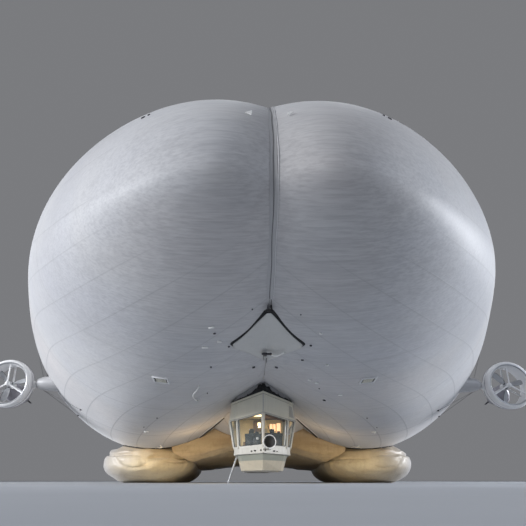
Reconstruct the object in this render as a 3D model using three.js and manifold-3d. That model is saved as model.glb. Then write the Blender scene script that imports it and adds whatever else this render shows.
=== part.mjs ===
// Hybrid airship, three-lobed envelope on two pneumatic skids, scale model 1:10.
// Frame: bow towards -Y, +X right as seen from the front, +Z up, floor at Z = 0,
// Y = 0 at mid length. Lengths in the tables are real metres; S turns them into model millimetres.
import * as THREE from 'three';
import { mergeVertices } from 'three/addons/utils/BufferGeometryUtils.js';
import Module from 'manifold-3d';

const wasm = await Module();
wasm.setup();

// ---------------------------------------------------------------- driving dimensions
const S = 100;            // model mm for one real metre (1:10)
const LENGTH = 92;        // bow tip to the last rear duct
const GAP = 0.3;          // mm kept between touching pieces
const WALL = 10;          // envelope shell, mm

const HULL = {
  rMax: 10.596, noseLen: 44.223, noseP: 3.46, noseQ: 1.815,        // outer lobe radius at the bow
  cBow: 1.750, cMax: 9.916, cLen: 43.097, cE: 1.708,               // lobe centre offset from the middle
  zBow: 8.663, zMax: 13.782, zLen: 22.719, zE: 1.91,               // lobe centre height
  flatBow: 0.399, flatLen: 22.823,                                 // lower half is flatter at the bow
  tailFrom: 44, tailLen: 44.2, tailP: 2.3, tailQ: 1.45,            // taper to the stern
  cTailFrom: 48, cTailDrop: 3.7, zTailDrop: 0.9, tailE: 1.8,
  centreFrom: 12, centreGrow: 22, centreK: 0.93,                   // middle lobe
  keel: 0.4, keelFrom: 22, keelFull: 36, keelTo: 66, keelEnd: 82,  // belly hangs lower over the skids
  end: 87.4, centreEnd: 86.2,
};
// stations along the hull, metres aft of the bow tip
const STATIONS = [0, 0.3, 0.9, 1.9, 3.2, 5, 7.4, 10.4, 14, 18.5, 24, 30, 37, 44, 51, 58, 64.5, 70.5, 76, 80, 82, 83.4, 85, 86.3, 87.4];
const CENTRE_STATIONS = STATIONS.filter((t) => t > 13 && t < 87);

const SKID = { from: 35.6, to: 66.6, cx: 10.0, half: 4.5, innerHalf: 4.3, innerTaper: 0.05, below: 1.9, above: 1.75, centreZ: 1.7, frontLen: 5.0, rearLen: 7.5, rise: 0.55, eOut: 2.6, eIn: 2.05 };

// flight deck outline at each height: half widths at the outer and the front corner, then t of prow, front corner
// and outer corner; the prow's own height may differ
const CAB = {
  levels: {
    bottom: { z: 0.69, outer: 1.22, front: 1.05, prowT: 17.6, frontT: 19.1, outerT: 19.8 },
    chin: { z: 1.18, outer: 1.36, front: 1.15, prowT: 17.15, frontT: 18.95, outerT: 19.7 },
    step: { z: 1.52, outer: 1.46, front: 1.24, prowT: 16.9, frontT: 18.85, outerT: 19.62 },
    band: { z: 1.56, outer: 1.63, front: 1.36, prowT: 16.7, frontT: 18.75, outerT: 19.6 },
    sill: { z: 1.86, outer: 1.65, front: 1.37, prowT: 16.68, frontT: 18.75, outerT: 19.6 },
    head: { z: 3.45, outer: 1.97, front: 1.5, prowT: 16.5, frontT: 18.7, outerT: 19.6, prowZ: 3.6 },
    eave: { z: 4.42, outer: 1.83, front: 1.5, prowT: 16.6, frontT: 18.8, outerT: 19.7, prowZ: 4.66 },
  },
  rearT: 25.2, wall: 0.1,
  door: { from: 20.35, to: 21.5, top: 3.9, clear: 6 },
};
// hung modules: t from/to, half widths at top, waist and bottom, height of waist and bottom; the top meets the envelope
const MODULE = { from: 25.45, to: 50.5, topHalf: 1.8, waistHalf: 1.6, botHalf: 1.2, waistZ: 1.85, bottom: 0.95 };
const AFT_MODULE = { from: 51.1, to: 61.0, topHalf: 1.6, waistHalf: 1.5, botHalf: 1.15, waistZ: 2.2, bottom: 1.35 };

const DUCT = { rIn: 1.385, rOut: 1.77, chord: 1.65, hub: 0.25, strut: 0.15, propR: 1.3 };
// propulsors: name, x, t, z of the duct's centre
const FORWARD = [['left', -1], ['right', 1]];
const FRONT_UNIT = { x: 18.95, t: 27.5, z: 6.9 };
const REAR_UNIT = { x: 6.93, t: 91.175, z: 13.0 };

// fins: name, side, root angle on the lobe in degrees, root chord from/to, tip chord from/to, span, hinge line share
const FINS = [
  { name: 'upper_fin_left', side: -1, up: 1, ang: 50, rootT: [62.5, 84.2], tipT: [79.2, 85.0], tip: [18.7, 26.0] },
  { name: 'upper_fin_right', side: 1, up: 1, ang: 50, rootT: [62.5, 84.2], tipT: [79.2, 85.0], tip: [18.7, 26.0] },
  { name: 'lower_fin_left', side: -1, up: -1, ang: -25, rootT: [62.5, 84.2], tipT: [79.2, 85.0], tip: [21.75, 7.4] },
  { name: 'lower_fin_right', side: 1, up: -1, ang: -25, rootT: [62.5, 84.2], tipT: [79.2, 85.0], tip: [21.75, 7.4] },
];
const FIN = { thick: 0.62, tipThick: 0.3, surfaceChord: 3.1, tipSurfaceChord: 2.2, hingeGap: 0.12, rootR: 2.6, surfaceFrom: 3.2 };

// ---------------------------------------------------------------- helpers
const Y = (t) => (t - LENGTH / 2) * S;
const M = (v) => v * S;
const clamp = (v, a, b) => Math.max(a, Math.min(b, v));

function manifoldOf(geometry) {
  const g = geometry.clone();
  for (const a of ['normal', 'uv']) if (g.getAttribute(a)) g.deleteAttribute(a);
  const m = mergeVertices(g, 1e-4);
  return new wasm.Manifold(new wasm.Mesh({
    numProp: 3,
    vertProperties: new Float32Array(m.getAttribute('position').array),
    triVerts: new Uint32Array(m.index.array),
  }));
}

function geometryOf(solid) {
  const mesh = solid.getMesh();
  const g = new THREE.BufferGeometry();
  g.setAttribute('position', new THREE.BufferAttribute(new Float32Array(mesh.vertProperties), 3));
  g.setIndex(new THREE.BufferAttribute(new Uint32Array(mesh.triVerts), 1));
  const flat = g.toNonIndexed();
  flat.computeVertexNormals();
  return flat;
}

// closed solid through rings of equal point count; ends closed by a fan round their middle point
function loft(rings) {
  const n = rings[0].length;
  const pos = [];
  for (const r of rings) for (const p of r) pos.push(...p);
  const idx = [];
  for (let i = 0; i + 1 < rings.length; i++) {
    for (let j = 0; j < n; j++) {
      const a = i * n + j, b = i * n + ((j + 1) % n), c = a + n, d = b + n;
      idx.push(a, b, c, b, d, c);
    }
  }
  const cap = (k, flip) => {
    const r = rings[k];
    const m = r.reduce((s, p) => [s[0] + p[0] / n, s[1] + p[1] / n, s[2] + p[2] / n], [0, 0, 0]);
    const c = pos.length / 3;
    pos.push(...m);
    for (let j = 0; j < n; j++) {
      const a = k * n + j, b = k * n + ((j + 1) % n);
      if (flip) idx.push(c, b, a); else idx.push(c, a, b);
    }
  };
  cap(0, true);
  cap(rings.length - 1, false);
  const g = new THREE.BufferGeometry();
  g.setAttribute('position', new THREE.BufferAttribute(new Float32Array(pos), 3));
  g.setIndex(idx);
  let solid = manifoldOf(g);
  if (solid.volume() < 0) {
    for (let i = 0; i < idx.length; i += 3) [idx[i], idx[i + 1]] = [idx[i + 1], idx[i]];
    g.setIndex(idx);
    solid = manifoldOf(g);
  }
  return solid;
}

function box(x0, x1, y0, y1, z0, z1) {
  const g = new THREE.BoxGeometry(x1 - x0, y1 - y0, z1 - z0);
  g.translate((x0 + x1) / 2, (y0 + y1) / 2, (z0 + z1) / 2);
  return manifoldOf(g);
}

function rod(a, b, r, sides = 8, r2 = r) {            // straight round bar between two points, mm
  const va = new THREE.Vector3(...a), vb = new THREE.Vector3(...b);
  const d = vb.clone().sub(va);
  const g = new THREE.CylinderGeometry(r2, r, d.length(), sides, 1);
  const q = new THREE.Quaternion().setFromUnitVectors(new THREE.Vector3(0, 1, 0), d.clone().normalize());
  g.applyQuaternion(q);
  const mid = va.add(vb).multiplyScalar(0.5);
  g.translate(mid.x, mid.y, mid.z);
  return manifoldOf(g);
}

function lathe(profile, sides, at) {                  // closed profile of [radius, axial] pairs, axis along Y
  const pts = [...profile, profile[0]].map((p) => new THREE.Vector2(p[0], p[1]));
  const g = new THREE.LatheGeometry(pts, sides);
  g.translate(...at);
  let m = manifoldOf(g);
  if (m.volume() < 0) {
    const i = g.index.array;
    for (let k = 0; k < i.length; k += 3) [i[k], i[k + 1]] = [i[k + 1], i[k]];
    m = manifoldOf(g);
  }
  return m;
}

// ---------------------------------------------------------------- envelope
function hullAt(t) {
  const h = HULL;
  let R = h.rMax * Math.pow(1 - Math.pow(clamp(1 - Math.max(t, 0.01) / h.noseLen, 0, 1), h.noseP), 1 / h.noseQ);
  let c = h.cBow + (h.cMax - h.cBow) * Math.pow(Math.sin(clamp(t / h.cLen, 0, 1) * Math.PI / 2), h.cE);
  let z = h.zBow + (h.zMax - h.zBow) * Math.pow(Math.sin(clamp(t / h.zLen, 0, 1) * Math.PI / 2), h.zE);
  if (t > h.tailFrom) R = h.rMax * Math.pow(clamp(1 - Math.pow((t - h.tailFrom) / h.tailLen, h.tailP), 0, 1), 1 / h.tailQ);
  if (t > h.cTailFrom) {
    const u = Math.pow((t - h.cTailFrom) / 44, h.tailE);
    c = h.cMax - h.cTailDrop * u;
    z = h.zMax - h.zTailDrop * u;
  }
  const flat = h.flatBow + (1 - h.flatBow) * Math.sin(clamp(t / h.flatLen, 0, 1) * Math.PI / 2);
  const w = Math.sqrt(Math.max(R * R - c * c, 0));
  const u = clamp((t - h.centreFrom) / h.centreGrow, 0, 1);
  const Rc = w + (h.centreK * R - w) * u * u * (3 - 2 * u);
  let wall = t < h.centreFrom ? 0 : (c * c + Rc * Rc - R * R) / (2 * c);  // plane where middle and outer lobe meet
  wall = Math.max(wall, 0);
  const touches = c < R + Rc;
  const ease = (v, a, b) => { const q = clamp((v - a) / (b - a), 0, 1); return q * q * (3 - 2 * q); };
  const keel = h.keel * ease(t, h.keelFrom, h.keelFull) * (1 - ease(t, h.keelTo, h.keelEnd));
  return { R, c, z, Rc, flat, keel, wall: touches ? wall : (c - R + Rc) / 2, touches };
}
// height over the lobe's centre of a point at angle a; the lower half is flattened by the share flat and hangs by keel
function rise(r, a, R, flat, keel) {
  const sn = Math.sin(a);
  return sn < 0 ? sn * Math.max(r - (1 - flat) * R, 0.02) - keel * sn ** 4 : sn * r;
}

// one ring of the outer lobe on side s: an arc from the top of the inner wall round the outside to its bottom
function lobeRing(t, s, n, inset, k = 1) {
  const { R, c, z, wall, flat, keel } = hullAt(t);
  const r = Math.max(R * k - inset / S, 0.02);
  const plane = wall + (inset ? inset / S : GAP / 2 / S);
  const half = Math.acos(clamp((c - plane) / r, -1, 1));
  const ring = [];
  for (let i = 0; i < n; i++) {
    const a = Math.PI - half - (2 * Math.PI - 2 * half) * (i / (n - 1));
    ring.push([s * M(c + r * Math.cos(a)), Y(t), M(z + rise(r, a, R, flat, keel))]);
  }
  return ring;
}

function centreRing(t, n, inset, k = 1) {
  const { z, Rc, wall, flat, keel } = hullAt(t);
  const r = Rc * k - inset / S;
  const plane = Math.min(wall - (inset ? inset / S : GAP / 2 / S), r * 0.9999);
  const half = Math.asin(clamp(plane / r, 0, 1));
  const ring = [];
  for (const side of [1, -1]) {
    for (let i = 0; i < n; i++) {
      const a = side * Math.PI / 2 + half - 2 * half * (i / (n - 1));
      ring.push([M(r * Math.cos(a)), Y(t), M(z + rise(r, a, Rc, flat, keel))]);
    }
  }
  return ring;
}

const LOBE_N = 26, LOBE_INNER_N = 22, CENTRE_N = 7;
const kIn = Math.cos(Math.PI * 0.86 / (LOBE_N - 1));
// vent holes that open the lobes: side, t, z as seen below the bow; the middle lobe opens under its keel
const VENTS = [[-1, -4.87, 11.8], [1, 4.82, 11.7]];
const VENT_SIZE = 0.42;

function outerLobeSolid(s) {
  return loft(STATIONS.map((t) => lobeRing(t, s, LOBE_N, 0)));
}
const lobeSolid = { left: outerLobeSolid(-1), right: outerLobeSolid(1) };
const centreSolid = loft(CENTRE_STATIONS.map((t) => centreRing(t, CENTRE_N, 0)));

// the same lobe grown by g mm, to cut other pieces clear of it
const grownLobe = (s, g) => loft(STATIONS.map((t) => lobeRing(t, s, LOBE_N, -g)));
const grownCentre = (g) => loft(CENTRE_STATIONS.map((t) => centreRing(t, CENTRE_N, -g)));

function lobeShell(s, name) {
  const inner = loft(STATIONS.slice(3, -1).map((t) => lobeRing(t, s, LOBE_INNER_N, WALL, kIn)));
  const [, vx, vt] = VENTS.find((v) => v[0] === s);
  const h = VENT_SIZE * S / 2;
  const { z } = hullAt(vt);
  const hole = box(M(vx) - h, M(vx) + h, Y(vt) - h, Y(vt) + h, M(2.2), M(z - 2.5));
  return lobeSolid[name].subtract(inner).subtract(hole);
}
function centreShell() {
  const inner = loft(CENTRE_STATIONS.slice(3, -1).map((t) => centreRing(t, 6, WALL, 0.994)));
  const hole = box(-40, 40, Y(70.2), Y(71.0), M(3), M(13.5));
  return centreSolid.subtract(inner).subtract(hole);
}

// ---------------------------------------------------------------- skids
// rings of one pneumatic skid; inset shrinks the section on all sides, mm
function skidRings(s, inset, stations, n) {
  const k = SKID, i = inset / S;
  return stations.map((d) => {
    const a = clamp(1 - d / k.frontLen, 0, 1), b = clamp(1 - (k.to - k.from - d) / k.rearLen, 0, 1);
    const end = Math.min(Math.pow(1 - Math.pow(a, 2.4), 1 / 2.2), Math.pow(1 - Math.pow(b, 2.2), 1 / 2));
    const w = Math.max(k.half * end, 0.6) - i, wIn = Math.max((k.innerHalf - k.innerTaper * d) * end, 0.6) - i, tall = 0.34 + 0.66 * Math.pow(end, 0.9);
    const lift = k.rise * Math.pow(a, 1.8) + 1.0 * Math.pow(b, 1.8);
    return [...Array(n).keys()].map((j) => {
      const q = (j + 0.5) / n * 2 * Math.PI, cs = Math.cos(q), sn = Math.sin(q);
      const e = cs > 0 ? k.eOut : k.eIn;
      const px = Math.sign(cs) * Math.pow(Math.abs(cs), 2 / e) * (cs > 0 ? w : wIn);
      const pz = Math.sign(sn) * Math.pow(Math.abs(sn), 2 / e) * ((sn > 0 ? k.above : k.below) * tall - i);
      const low = Math.max(k.centreZ + pz, i);
      return [s * M(k.cx + px), Y(k.from + d), M(low + lift * clamp((k.centreZ - low) / k.centreZ, 0, 1))];
    });
  });
}
function skid(s) {
  const outer = loft(skidRings(s, 0, [0, 0.3, 0.9, 1.8, 3.1, 5, 9, 17, 23.5, 26, 28.2, 29.8, 30.7, 31], 22));
  const inner = loft(skidRings(s, WALL * 1.6, [0.6, 1.1, 2.4, 5, 9, 17, 23.5, 26, 28.2, 29.8, 30.4], 12));
  const port = box(s * M(SKID.cx) - 20, s * M(SKID.cx) + 20, 180, 220, M(1), M(6));   // inflation port under the lobe
  return outer.subtract(grownLobe(s, GAP * 2)).subtract(inner.subtract(grownLobe(s, WALL + GAP * 2))).subtract(port);
}

// fabric apron that closes the belly between a skid's inner side and the hung modules: for each station its
// underside's heights at the five distances APRON_X from the middle, real m
const APRON_X = [1.95, 3.05, 4.5, 5.8, 7.8];
const APRON = [
  [36.2, 3.75, 3.60, 3.40, 3.20, 3.10],
  [36.8, 3.10, 2.90, 2.55, 2.30, 2.15],
  [38.0, 2.75, 2.50, 2.10, 1.76, 1.50],
  [42.0, 2.35, 2.15, 1.85, 1.60, 1.40],
  [50.0, 1.85, 1.72, 1.55, 1.38, 1.25],
  [60.0, 1.85, 1.72, 1.55, 1.38, 1.25],
  [62.4, 2.60, 2.50, 2.35, 2.20, 2.10],
  [63.4, 4.00, 3.80, 3.60, 3.40, 3.30],
];
function apron(s) {
  const ring = (row, inset, k) => {
    const i = inset / S, x = [APRON_X[0] + i, ...APRON_X.slice(1)];
    const low = x.map((v, j) => [s * M(v), Y(row[0] + k * i), M(row[j + 1] + i)]);
    return [...low, [s * M(x[4]), Y(row[0] + k * i), M(6)], [s * M(x[0]), Y(row[0] + k * i), M(6)]];
  };
  const last = APRON.length - 1;
  const body = (inset) => loft(APRON.map((row, j) => ring(row, inset, j === 0 ? 1 : j === last ? -1 : 0)));
  const cut = (solid, g) => solid.subtract(grownLobe(s, g)).subtract(grownCentre(g))
    .subtract(loft(skidRings(s, -g, [0, 0.3, 0.9, 1.8, 3.1, 5, 9, 17, 23.5, 26, 28.2, 29.8, 30.7, 31], 22)));
  const port = box(s * M(3.6) - 15, s * M(3.6) + 15, Y(46), Y(46.3), M(2.2), M(7));   // opening under the lobe
  const pieces = cut(body(0), GAP * 2).subtract(cut(body(WALL), WALL + GAP * 2)).subtract(port).decompose();
  return pieces.sort((a, b) => b.volume() - a.volume())[0];   // without the slivers that the cuts leave
}

// ---------------------------------------------------------------- propulsors
function tripod(c, yS, r) {                            // three stators from the hub to the ring
  const reach = M(DUCT.rIn + 0.05);
  return [90, 210, 330].map((a) => {
    const q = a * Math.PI / 180;
    return rod([c[0], yS, c[2]], [c[0] + reach * Math.cos(q), yS, c[2] + reach * Math.sin(q)], r, 8);
  });
}
function ductSolid(x, t, z, stub, dir = 1, guard = false) {   // dir 1: propeller ahead of its stators, -1: behind them
  const d = DUCT, half = d.chord / 2;
  // ring with a fat rounded lip, profile in radius and axial offset, leading edge at -half
  const profile = [
    [d.rIn + 0.14, -half], [d.rIn + 0.3, -half + 0.05], [d.rOut - 0.01, -half + 0.2], [d.rOut, -half + 0.45],
    [d.rOut - 0.07, half * 0.3], [d.rIn + 0.13, half], [d.rIn + 0.08, half], [d.rIn, 0.1], [d.rIn, -half + 0.4], [d.rIn + 0.04, -half + 0.1],
  ];
  const ring = lathe(profile.map(([r, a]) => [M(r), M(a)]), 32, [M(x), Y(t), M(z)]);
  const c = [M(x), 0, M(z)];
  const parts = [ring, rod([c[0], Y(t + dir * 0.16), c[2]], [c[0], Y(t + dir * 0.62), c[2]], M(d.hub), 14),
    ...tripod(c, Y(t + dir * 0.4), M(d.strut / 2))];
  if (guard) parts.push(rod([c[0], Y(t - dir * 0.66), c[2]], [c[0], Y(t - dir * 0.42), c[2]], M(0.17), 12), ...tripod(c, Y(t - dir * 0.54), M(0.055)));
  if (stub) parts.push(stub);
  return parts.reduce((a, b) => a.add(b));
}

function propeller(x, t, z, dir = 1) {
  const d = DUCT, parts = [];
  const c = [M(x), Y(t), M(z)];
  parts.push(lathe([[0, M(-0.33)], [M(0.13), M(-0.31)], [M(0.2), M(-0.2)], [M(0.21), M(0.06)], [0, M(0.06)]], 14, [0, 0, 0]));
  for (let i = 0; i < 3; i++) {
    // blade outline sections: radius, chord, twist in degrees
    const rows = [[0.16, 0.22, 58], [0.45, 0.4, 46], [0.85, 0.46, 32], [1.15, 0.4, 25], [d.propR, 0.26, 21]];
    const rings = rows.map(([r, ch, tw]) => {
      const q = tw * Math.PI / 180, th = 0.035 + 0.02 * (1 - r / d.propR);
      const pts = [[-0.5, 0], [-0.2, 1], [0.2, 0.8], [0.5, 0], [0.2, -0.6], [-0.2, -0.8]];
      return pts.map(([u, v]) => {
        const a = u * ch, b = v * th / 2;
        return [M(a * Math.cos(q) - b * Math.sin(q)), M(-a * Math.sin(q) - b * Math.cos(q) - 0.1), M(r)];
      });
    });
    parts.push(loft(rings).rotate([0, i * 120 - 45, 0]));
  }
  const whole = parts.reduce((a, b) => a.add(b));
  return (dir < 0 ? whole.rotate([0, 0, 180]) : whole).translate(c);
}

function engineBlock(x, t, z) {                        // plain block low behind the duct, with a neck up to the hub
  const ring = (tt, w, h, dz) => [[-0.6, -1], [0.6, -1], [1, -0.55], [1, 0.55], [0.6, 1], [-0.6, 1], [-1, 0.55], [-1, -0.55]]
    .map(([a, b]) => [M(x + a * w), Y(tt), M(z + dz + b * h)]);
  return loft([ring(t + 0.62 + GAP / S, 0.22, 0.22, 0), ring(t + 1.0, 0.62, 0.56, -0.42), ring(t + 1.25, 0.74, 0.66, -0.5),
    ring(t + 2.2, 0.7, 0.62, -0.46), ring(t + 2.65, 0.4, 0.36, -0.3)]);
}

// ---------------------------------------------------------------- fins
function finPieces(f) {
  const mid = (f.rootT[0] + f.rootT[1]) / 2;
  const h = hullAt(mid), a = f.ang * Math.PI / 180;
  const root = [h.c + FIN.rootR * Math.cos(a), h.z + FIN.rootR * Math.sin(a)];  // starts inside the lobe, cut back to its skin
  const dir = new THREE.Vector2(f.tip[0] - root[0], f.tip[1] - root[1]);
  const span = dir.length();
  dir.normalize();
  const nrm = [-dir.y, dir.x];
  const line = (t, d, th) => [                          // two skins at distance d out along the span
    [f.side * M(root[0] + dir.x * d + nrm[0] * th / 2), Y(t), M(root[1] + dir.y * d + nrm[1] * th / 2)],
    [f.side * M(root[0] + dir.x * d - nrm[0] * th / 2), Y(t), M(root[1] + dir.y * d - nrm[1] * th / 2)],
  ];
  const chordRing = (d, t0, t1, k0, k1) => {            // t0, t1 leading and trailing edge, k nose and tail thickness share
    const u = d / span, th = FIN.thick + (FIN.tipThick - FIN.thick) * u;
    const front = line(t0, d, th * k0), front2 = line(t0 + 0.35 * (t1 - t0), d, th);
    const rear = line(t1, d, th * k1);
    return [front[0], front2[0], rear[0], rear[1], front2[1], front[1]];
  };
  const hingeRoot = f.rootT[1] - FIN.surfaceChord, hingeTip = f.tipT[1] - FIN.tipSurfaceChord;
  const steps = [0, 0.35, 0.7, 0.93, 1];
  const lead = (u) => f.rootT[0] + (f.tipT[0] - f.rootT[0]) * u + (u > 0.9 ? (u - 0.9) * 12 : 0);
  const hinge = (u) => hingeRoot + (hingeTip - hingeRoot) * u;
  const trail = (u) => f.rootT[1] + (f.tipT[1] - f.rootT[1]) * u - (u > 0.9 ? (u - 0.9) * 5 : 0);
  const lead0 = f.rootT[0];
  const fin = loft(steps.map((u) => chordRing(u * span, u === 0 ? lead0 : lead(u), hinge(u), 0.16, 0.8)));
  const body = fin.subtract(grownLobe(f.side, GAP * 2));
  // control surface: starts clear of the lobe
  const from = FIN.surfaceFrom / span;
  const surf = loft([from, 0.6, 0.9, 0.985].map((u) => {
    const th = (FIN.thick + (FIN.tipThick - FIN.thick) * u) * 0.7;
    const t0 = hinge(u) + FIN.hingeGap, t1 = trail(u);
    const n0 = line(t0, u * span, th * 0.55), n1 = line(t0 + 0.22, u * span, th), r = line(t1, u * span, 0.07);
    return [n0[0], n1[0], r[0], r[1], n1[1], n0[1]];
  }));
  const p = (u) => line(hinge(u) + FIN.hingeGap + 0.1, u * span, 0)[0];
  return { body, surf, axis: [p(from), p(0.985)] };
}

// ---------------------------------------------------------------- flight deck and modules
// seven-point outline of one level, from the left rear round the prow to the right rear; inset i in metres
function cabLevel(name, i = 0, rear = CAB.rearT) {
  const l = CAB.levels[name];
  return [
    [-l.outer + i, rear - i, l.z], [-l.outer + i, l.outerT + i * 0.2, l.z], [-l.front + i * 0.7, l.frontT + i * 0.7, l.z],
    [0, l.prowT + i * 1.2, l.prowZ ?? l.z],
    [l.front - i * 0.7, l.frontT + i * 0.7, l.z], [l.outer - i, l.outerT + i * 0.2, l.z], [l.outer - i, rear - i, l.z],
  ];
}
const lerpRing = (a, b, k) => a.map((p, i) => lerp(p, b[i], k));
const lerp = (p, q, k) => p.map((v, j) => v + (q[j] - v) * k);
const raise = (pts, dz) => pts.map(([x, t, z]) => [x, t, z + dz]);
const stack = (list) => loft(list.map((pts) => pts.map(([x, t, z]) => [M(x), Y(t), M(z)])));

function cab() {
  const c = CAB, g = GAP / S, L = (n, i) => cabLevel(n, i);
  const lower = stack([L('bottom'), L('chin'), L('step'), L('band'), raise(L('sill'), -g)]);       // floor pan and chin, solid
  let shell = stack([L('sill'), L('head'), L('eave')])
    .subtract(stack([raise(L('sill', c.wall), -0.1), L('head', c.wall), raise(L('eave', c.wall), 0.1)]));
  // windows cut: windshields either side of the prow pillar, quarter lights, one long window each side
  const cuts = [], panes = {};
  const a = lerpRing(L('sill'), L('head'), 0.08), b = lerpRing(L('sill'), L('head'), 0.97);
  for (const s of [-1, 1]) {
    const side = s < 0 ? 'left' : 'right';
    const at = (k) => (s < 0 ? 3 - k : 3 + k);                        // 0 prow, 1 front corner, 2 outer corner, 3 rear
    const quads = [['windshield', 0, 1, 0.05, 0.95], ['quarter_window', 1, 2, 0.16, 0.84], ['side_window', 2, 3, s < 0 ? 0.38 : 0.05, 0.9]];
    for (const [kind, i0, i1, k0, k1] of quads) {
      const P = [lerp(a[at(i0)], a[at(i1)], k0), lerp(a[at(i0)], a[at(i1)], k1), lerp(b[at(i0)], b[at(i1)], k1), lerp(b[at(i0)], b[at(i1)], k0)]
        .map(([x, t, z]) => new THREE.Vector3(M(x), Y(t), M(z)));
      const out = P[1].clone().sub(P[0]).cross(P[3].clone().sub(P[0])).normalize().multiplyScalar(-s);
      const slab = (pts, d0, d1) => loft([d0, d1].map((d) => pts.map((v) => v.clone().addScaledVector(out, d).toArray())));
      cuts.push(slab(P, -45, 30));
      const mid = P.reduce((m, v) => m.add(v), new THREE.Vector3()).multiplyScalar(0.25);
      const small = P.map((v) => v.clone().addScaledVector(mid.clone().sub(v).normalize(), GAP * 2));
      panes[`${kind}_${side}`] = slab(small, -7.5, -4);
    }
  }
  for (const k of cuts) shell = shell.subtract(k);
  // doorway in the left side, between the outer corner and the side window
  const d = c.door, z0 = c.levels.sill.z;
  const hole = (m) => box(M(-2.4), M(-0.9), Y(d.from) + m, Y(d.to) - m, M(z0 + 0.05) + m, M(d.top) - m);
  const door = shell.intersect(hole(d.clear));
  shell = shell.subtract(hole(0));
  // roof: plate with eaves, rising to the prow
  const over = raise(cabLevel('eave', -0.06), 0.012), up = (dz) => raise(over, dz);
  const crown = cabLevel('eave', 0.75).map(([x, t, z]) => [x * 0.7, t, z + 0.24]);
  const roof = stack([over, up(0.1), crown]);
  // collar between the roof and the envelope, set back from the eaves
  const foot = cabLevel('eave', 0.16).map(([x, t, z]) => [x, t, z - 0.02]);
  const collar = stack([foot, raise(foot, 1.6)]).subtract(stack([raise(cabLevel('eave', -0.1), -0.4), raise(cabLevel('eave', -0.1), g), raise(over, 0.1 + g * 1.5), raise(crown, g * 1.5)]))
    .subtract(grownLobe(-1, GAP * 2)).subtract(grownLobe(1, GAP * 2)).subtract(grownCentre(GAP * 2));
  return { lower, shell, door, roof, panes, collar };
}
function hungModule(m) {                              // long box with sloping lower sides, its top cut to the envelope's belly
  const ring = (t, k, dz) => [
    [-m.botHalf * k, m.bottom + dz], [m.botHalf * k, m.bottom + dz], [m.waistHalf * k, m.waistZ + dz * 0.5],
    [m.topHalf * k, 5.6], [-m.topHalf * k, 5.6], [-m.waistHalf * k, m.waistZ + dz * 0.5],
  ].map(([x, z]) => [M(x), Y(t), M(z)]);
  return loft([ring(m.from, 0.97, 0), ring(m.from + 0.3, 1, 0), ring(m.to - 1.6, 1, 0), ring(m.to, 0.9, 0.45)])
    .subtract(grownLobe(-1, GAP * 2)).subtract(grownLobe(1, GAP * 2)).subtract(grownCentre(GAP * 2));
}

// ---------------------------------------------------------------- assembly
const craft = new THREE.Group();
const COLOURS = {
  envelope: [0xd6d3cf, 0.45, 0], skid: [0xcfc4ae, 0.55, 0], white: [0xe9e9e6, 0.4, 0.05], grey: [0x6f7476, 0.5, 0.4],
  dark: [0x2b2c2e, 0.6, 0.1], panel: [0xc9c6bb, 0.5, 0.1], glass: [0xbfd0d8, 0.1, 0], prop: [0x9fa3a8, 0.4, 0.1], seat: [0x33343a, 0.8, 0], fin: [0xdcdad6, 0.45, 0],
};
function put(name, solid, colour) {
  const [color, roughness, metalness] = COLOURS[colour];
  const mesh = new THREE.Mesh(geometryOf(solid), new THREE.MeshStandardMaterial({ color, roughness, metalness }));
  mesh.name = name;
  craft.add(mesh);
}

put('envelope_lobe_left', lobeShell(-1, 'left'), 'envelope');
put('envelope_lobe_right', lobeShell(1, 'right'), 'envelope');
put('envelope_lobe_centre', centreShell(), 'envelope');
put('skid_left', skid(-1), 'skid');
put('skid_right', skid(1), 'skid');
put('belly_apron_left', apron(-1), 'skid');
put('belly_apron_right', apron(1), 'skid');

// nose patch: taut diamond under the crease of the bow, and the mooring block at its upper corner
{
  const both = grownLobe(-1, GAP * 1.5).add(grownLobe(1, GAP * 1.5));
  const pts = [[0, 5.3, 5.86], [1.5, 7.62, 5.08], [0, 9.9, 5.0], [-1.5, 7.62, 5.08]];
  const ring = (dz, k) => pts.map(([x, t, z]) => [M(x * k), Y(7.6 + (t - 7.6) * k), M(z * k + 5.14 * (1 - k) + dz)]);
  put('nose_patch', loft([ring(0, 0.05), ring(0, 1), ring(0.6, 1)]).subtract(both), 'envelope');
  const block = box(-8, 8, Y(4.95), Y(5.28), M(5.76), M(7));
  put('mooring_fitting', block.subtract(both), 'dark');
}

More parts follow.
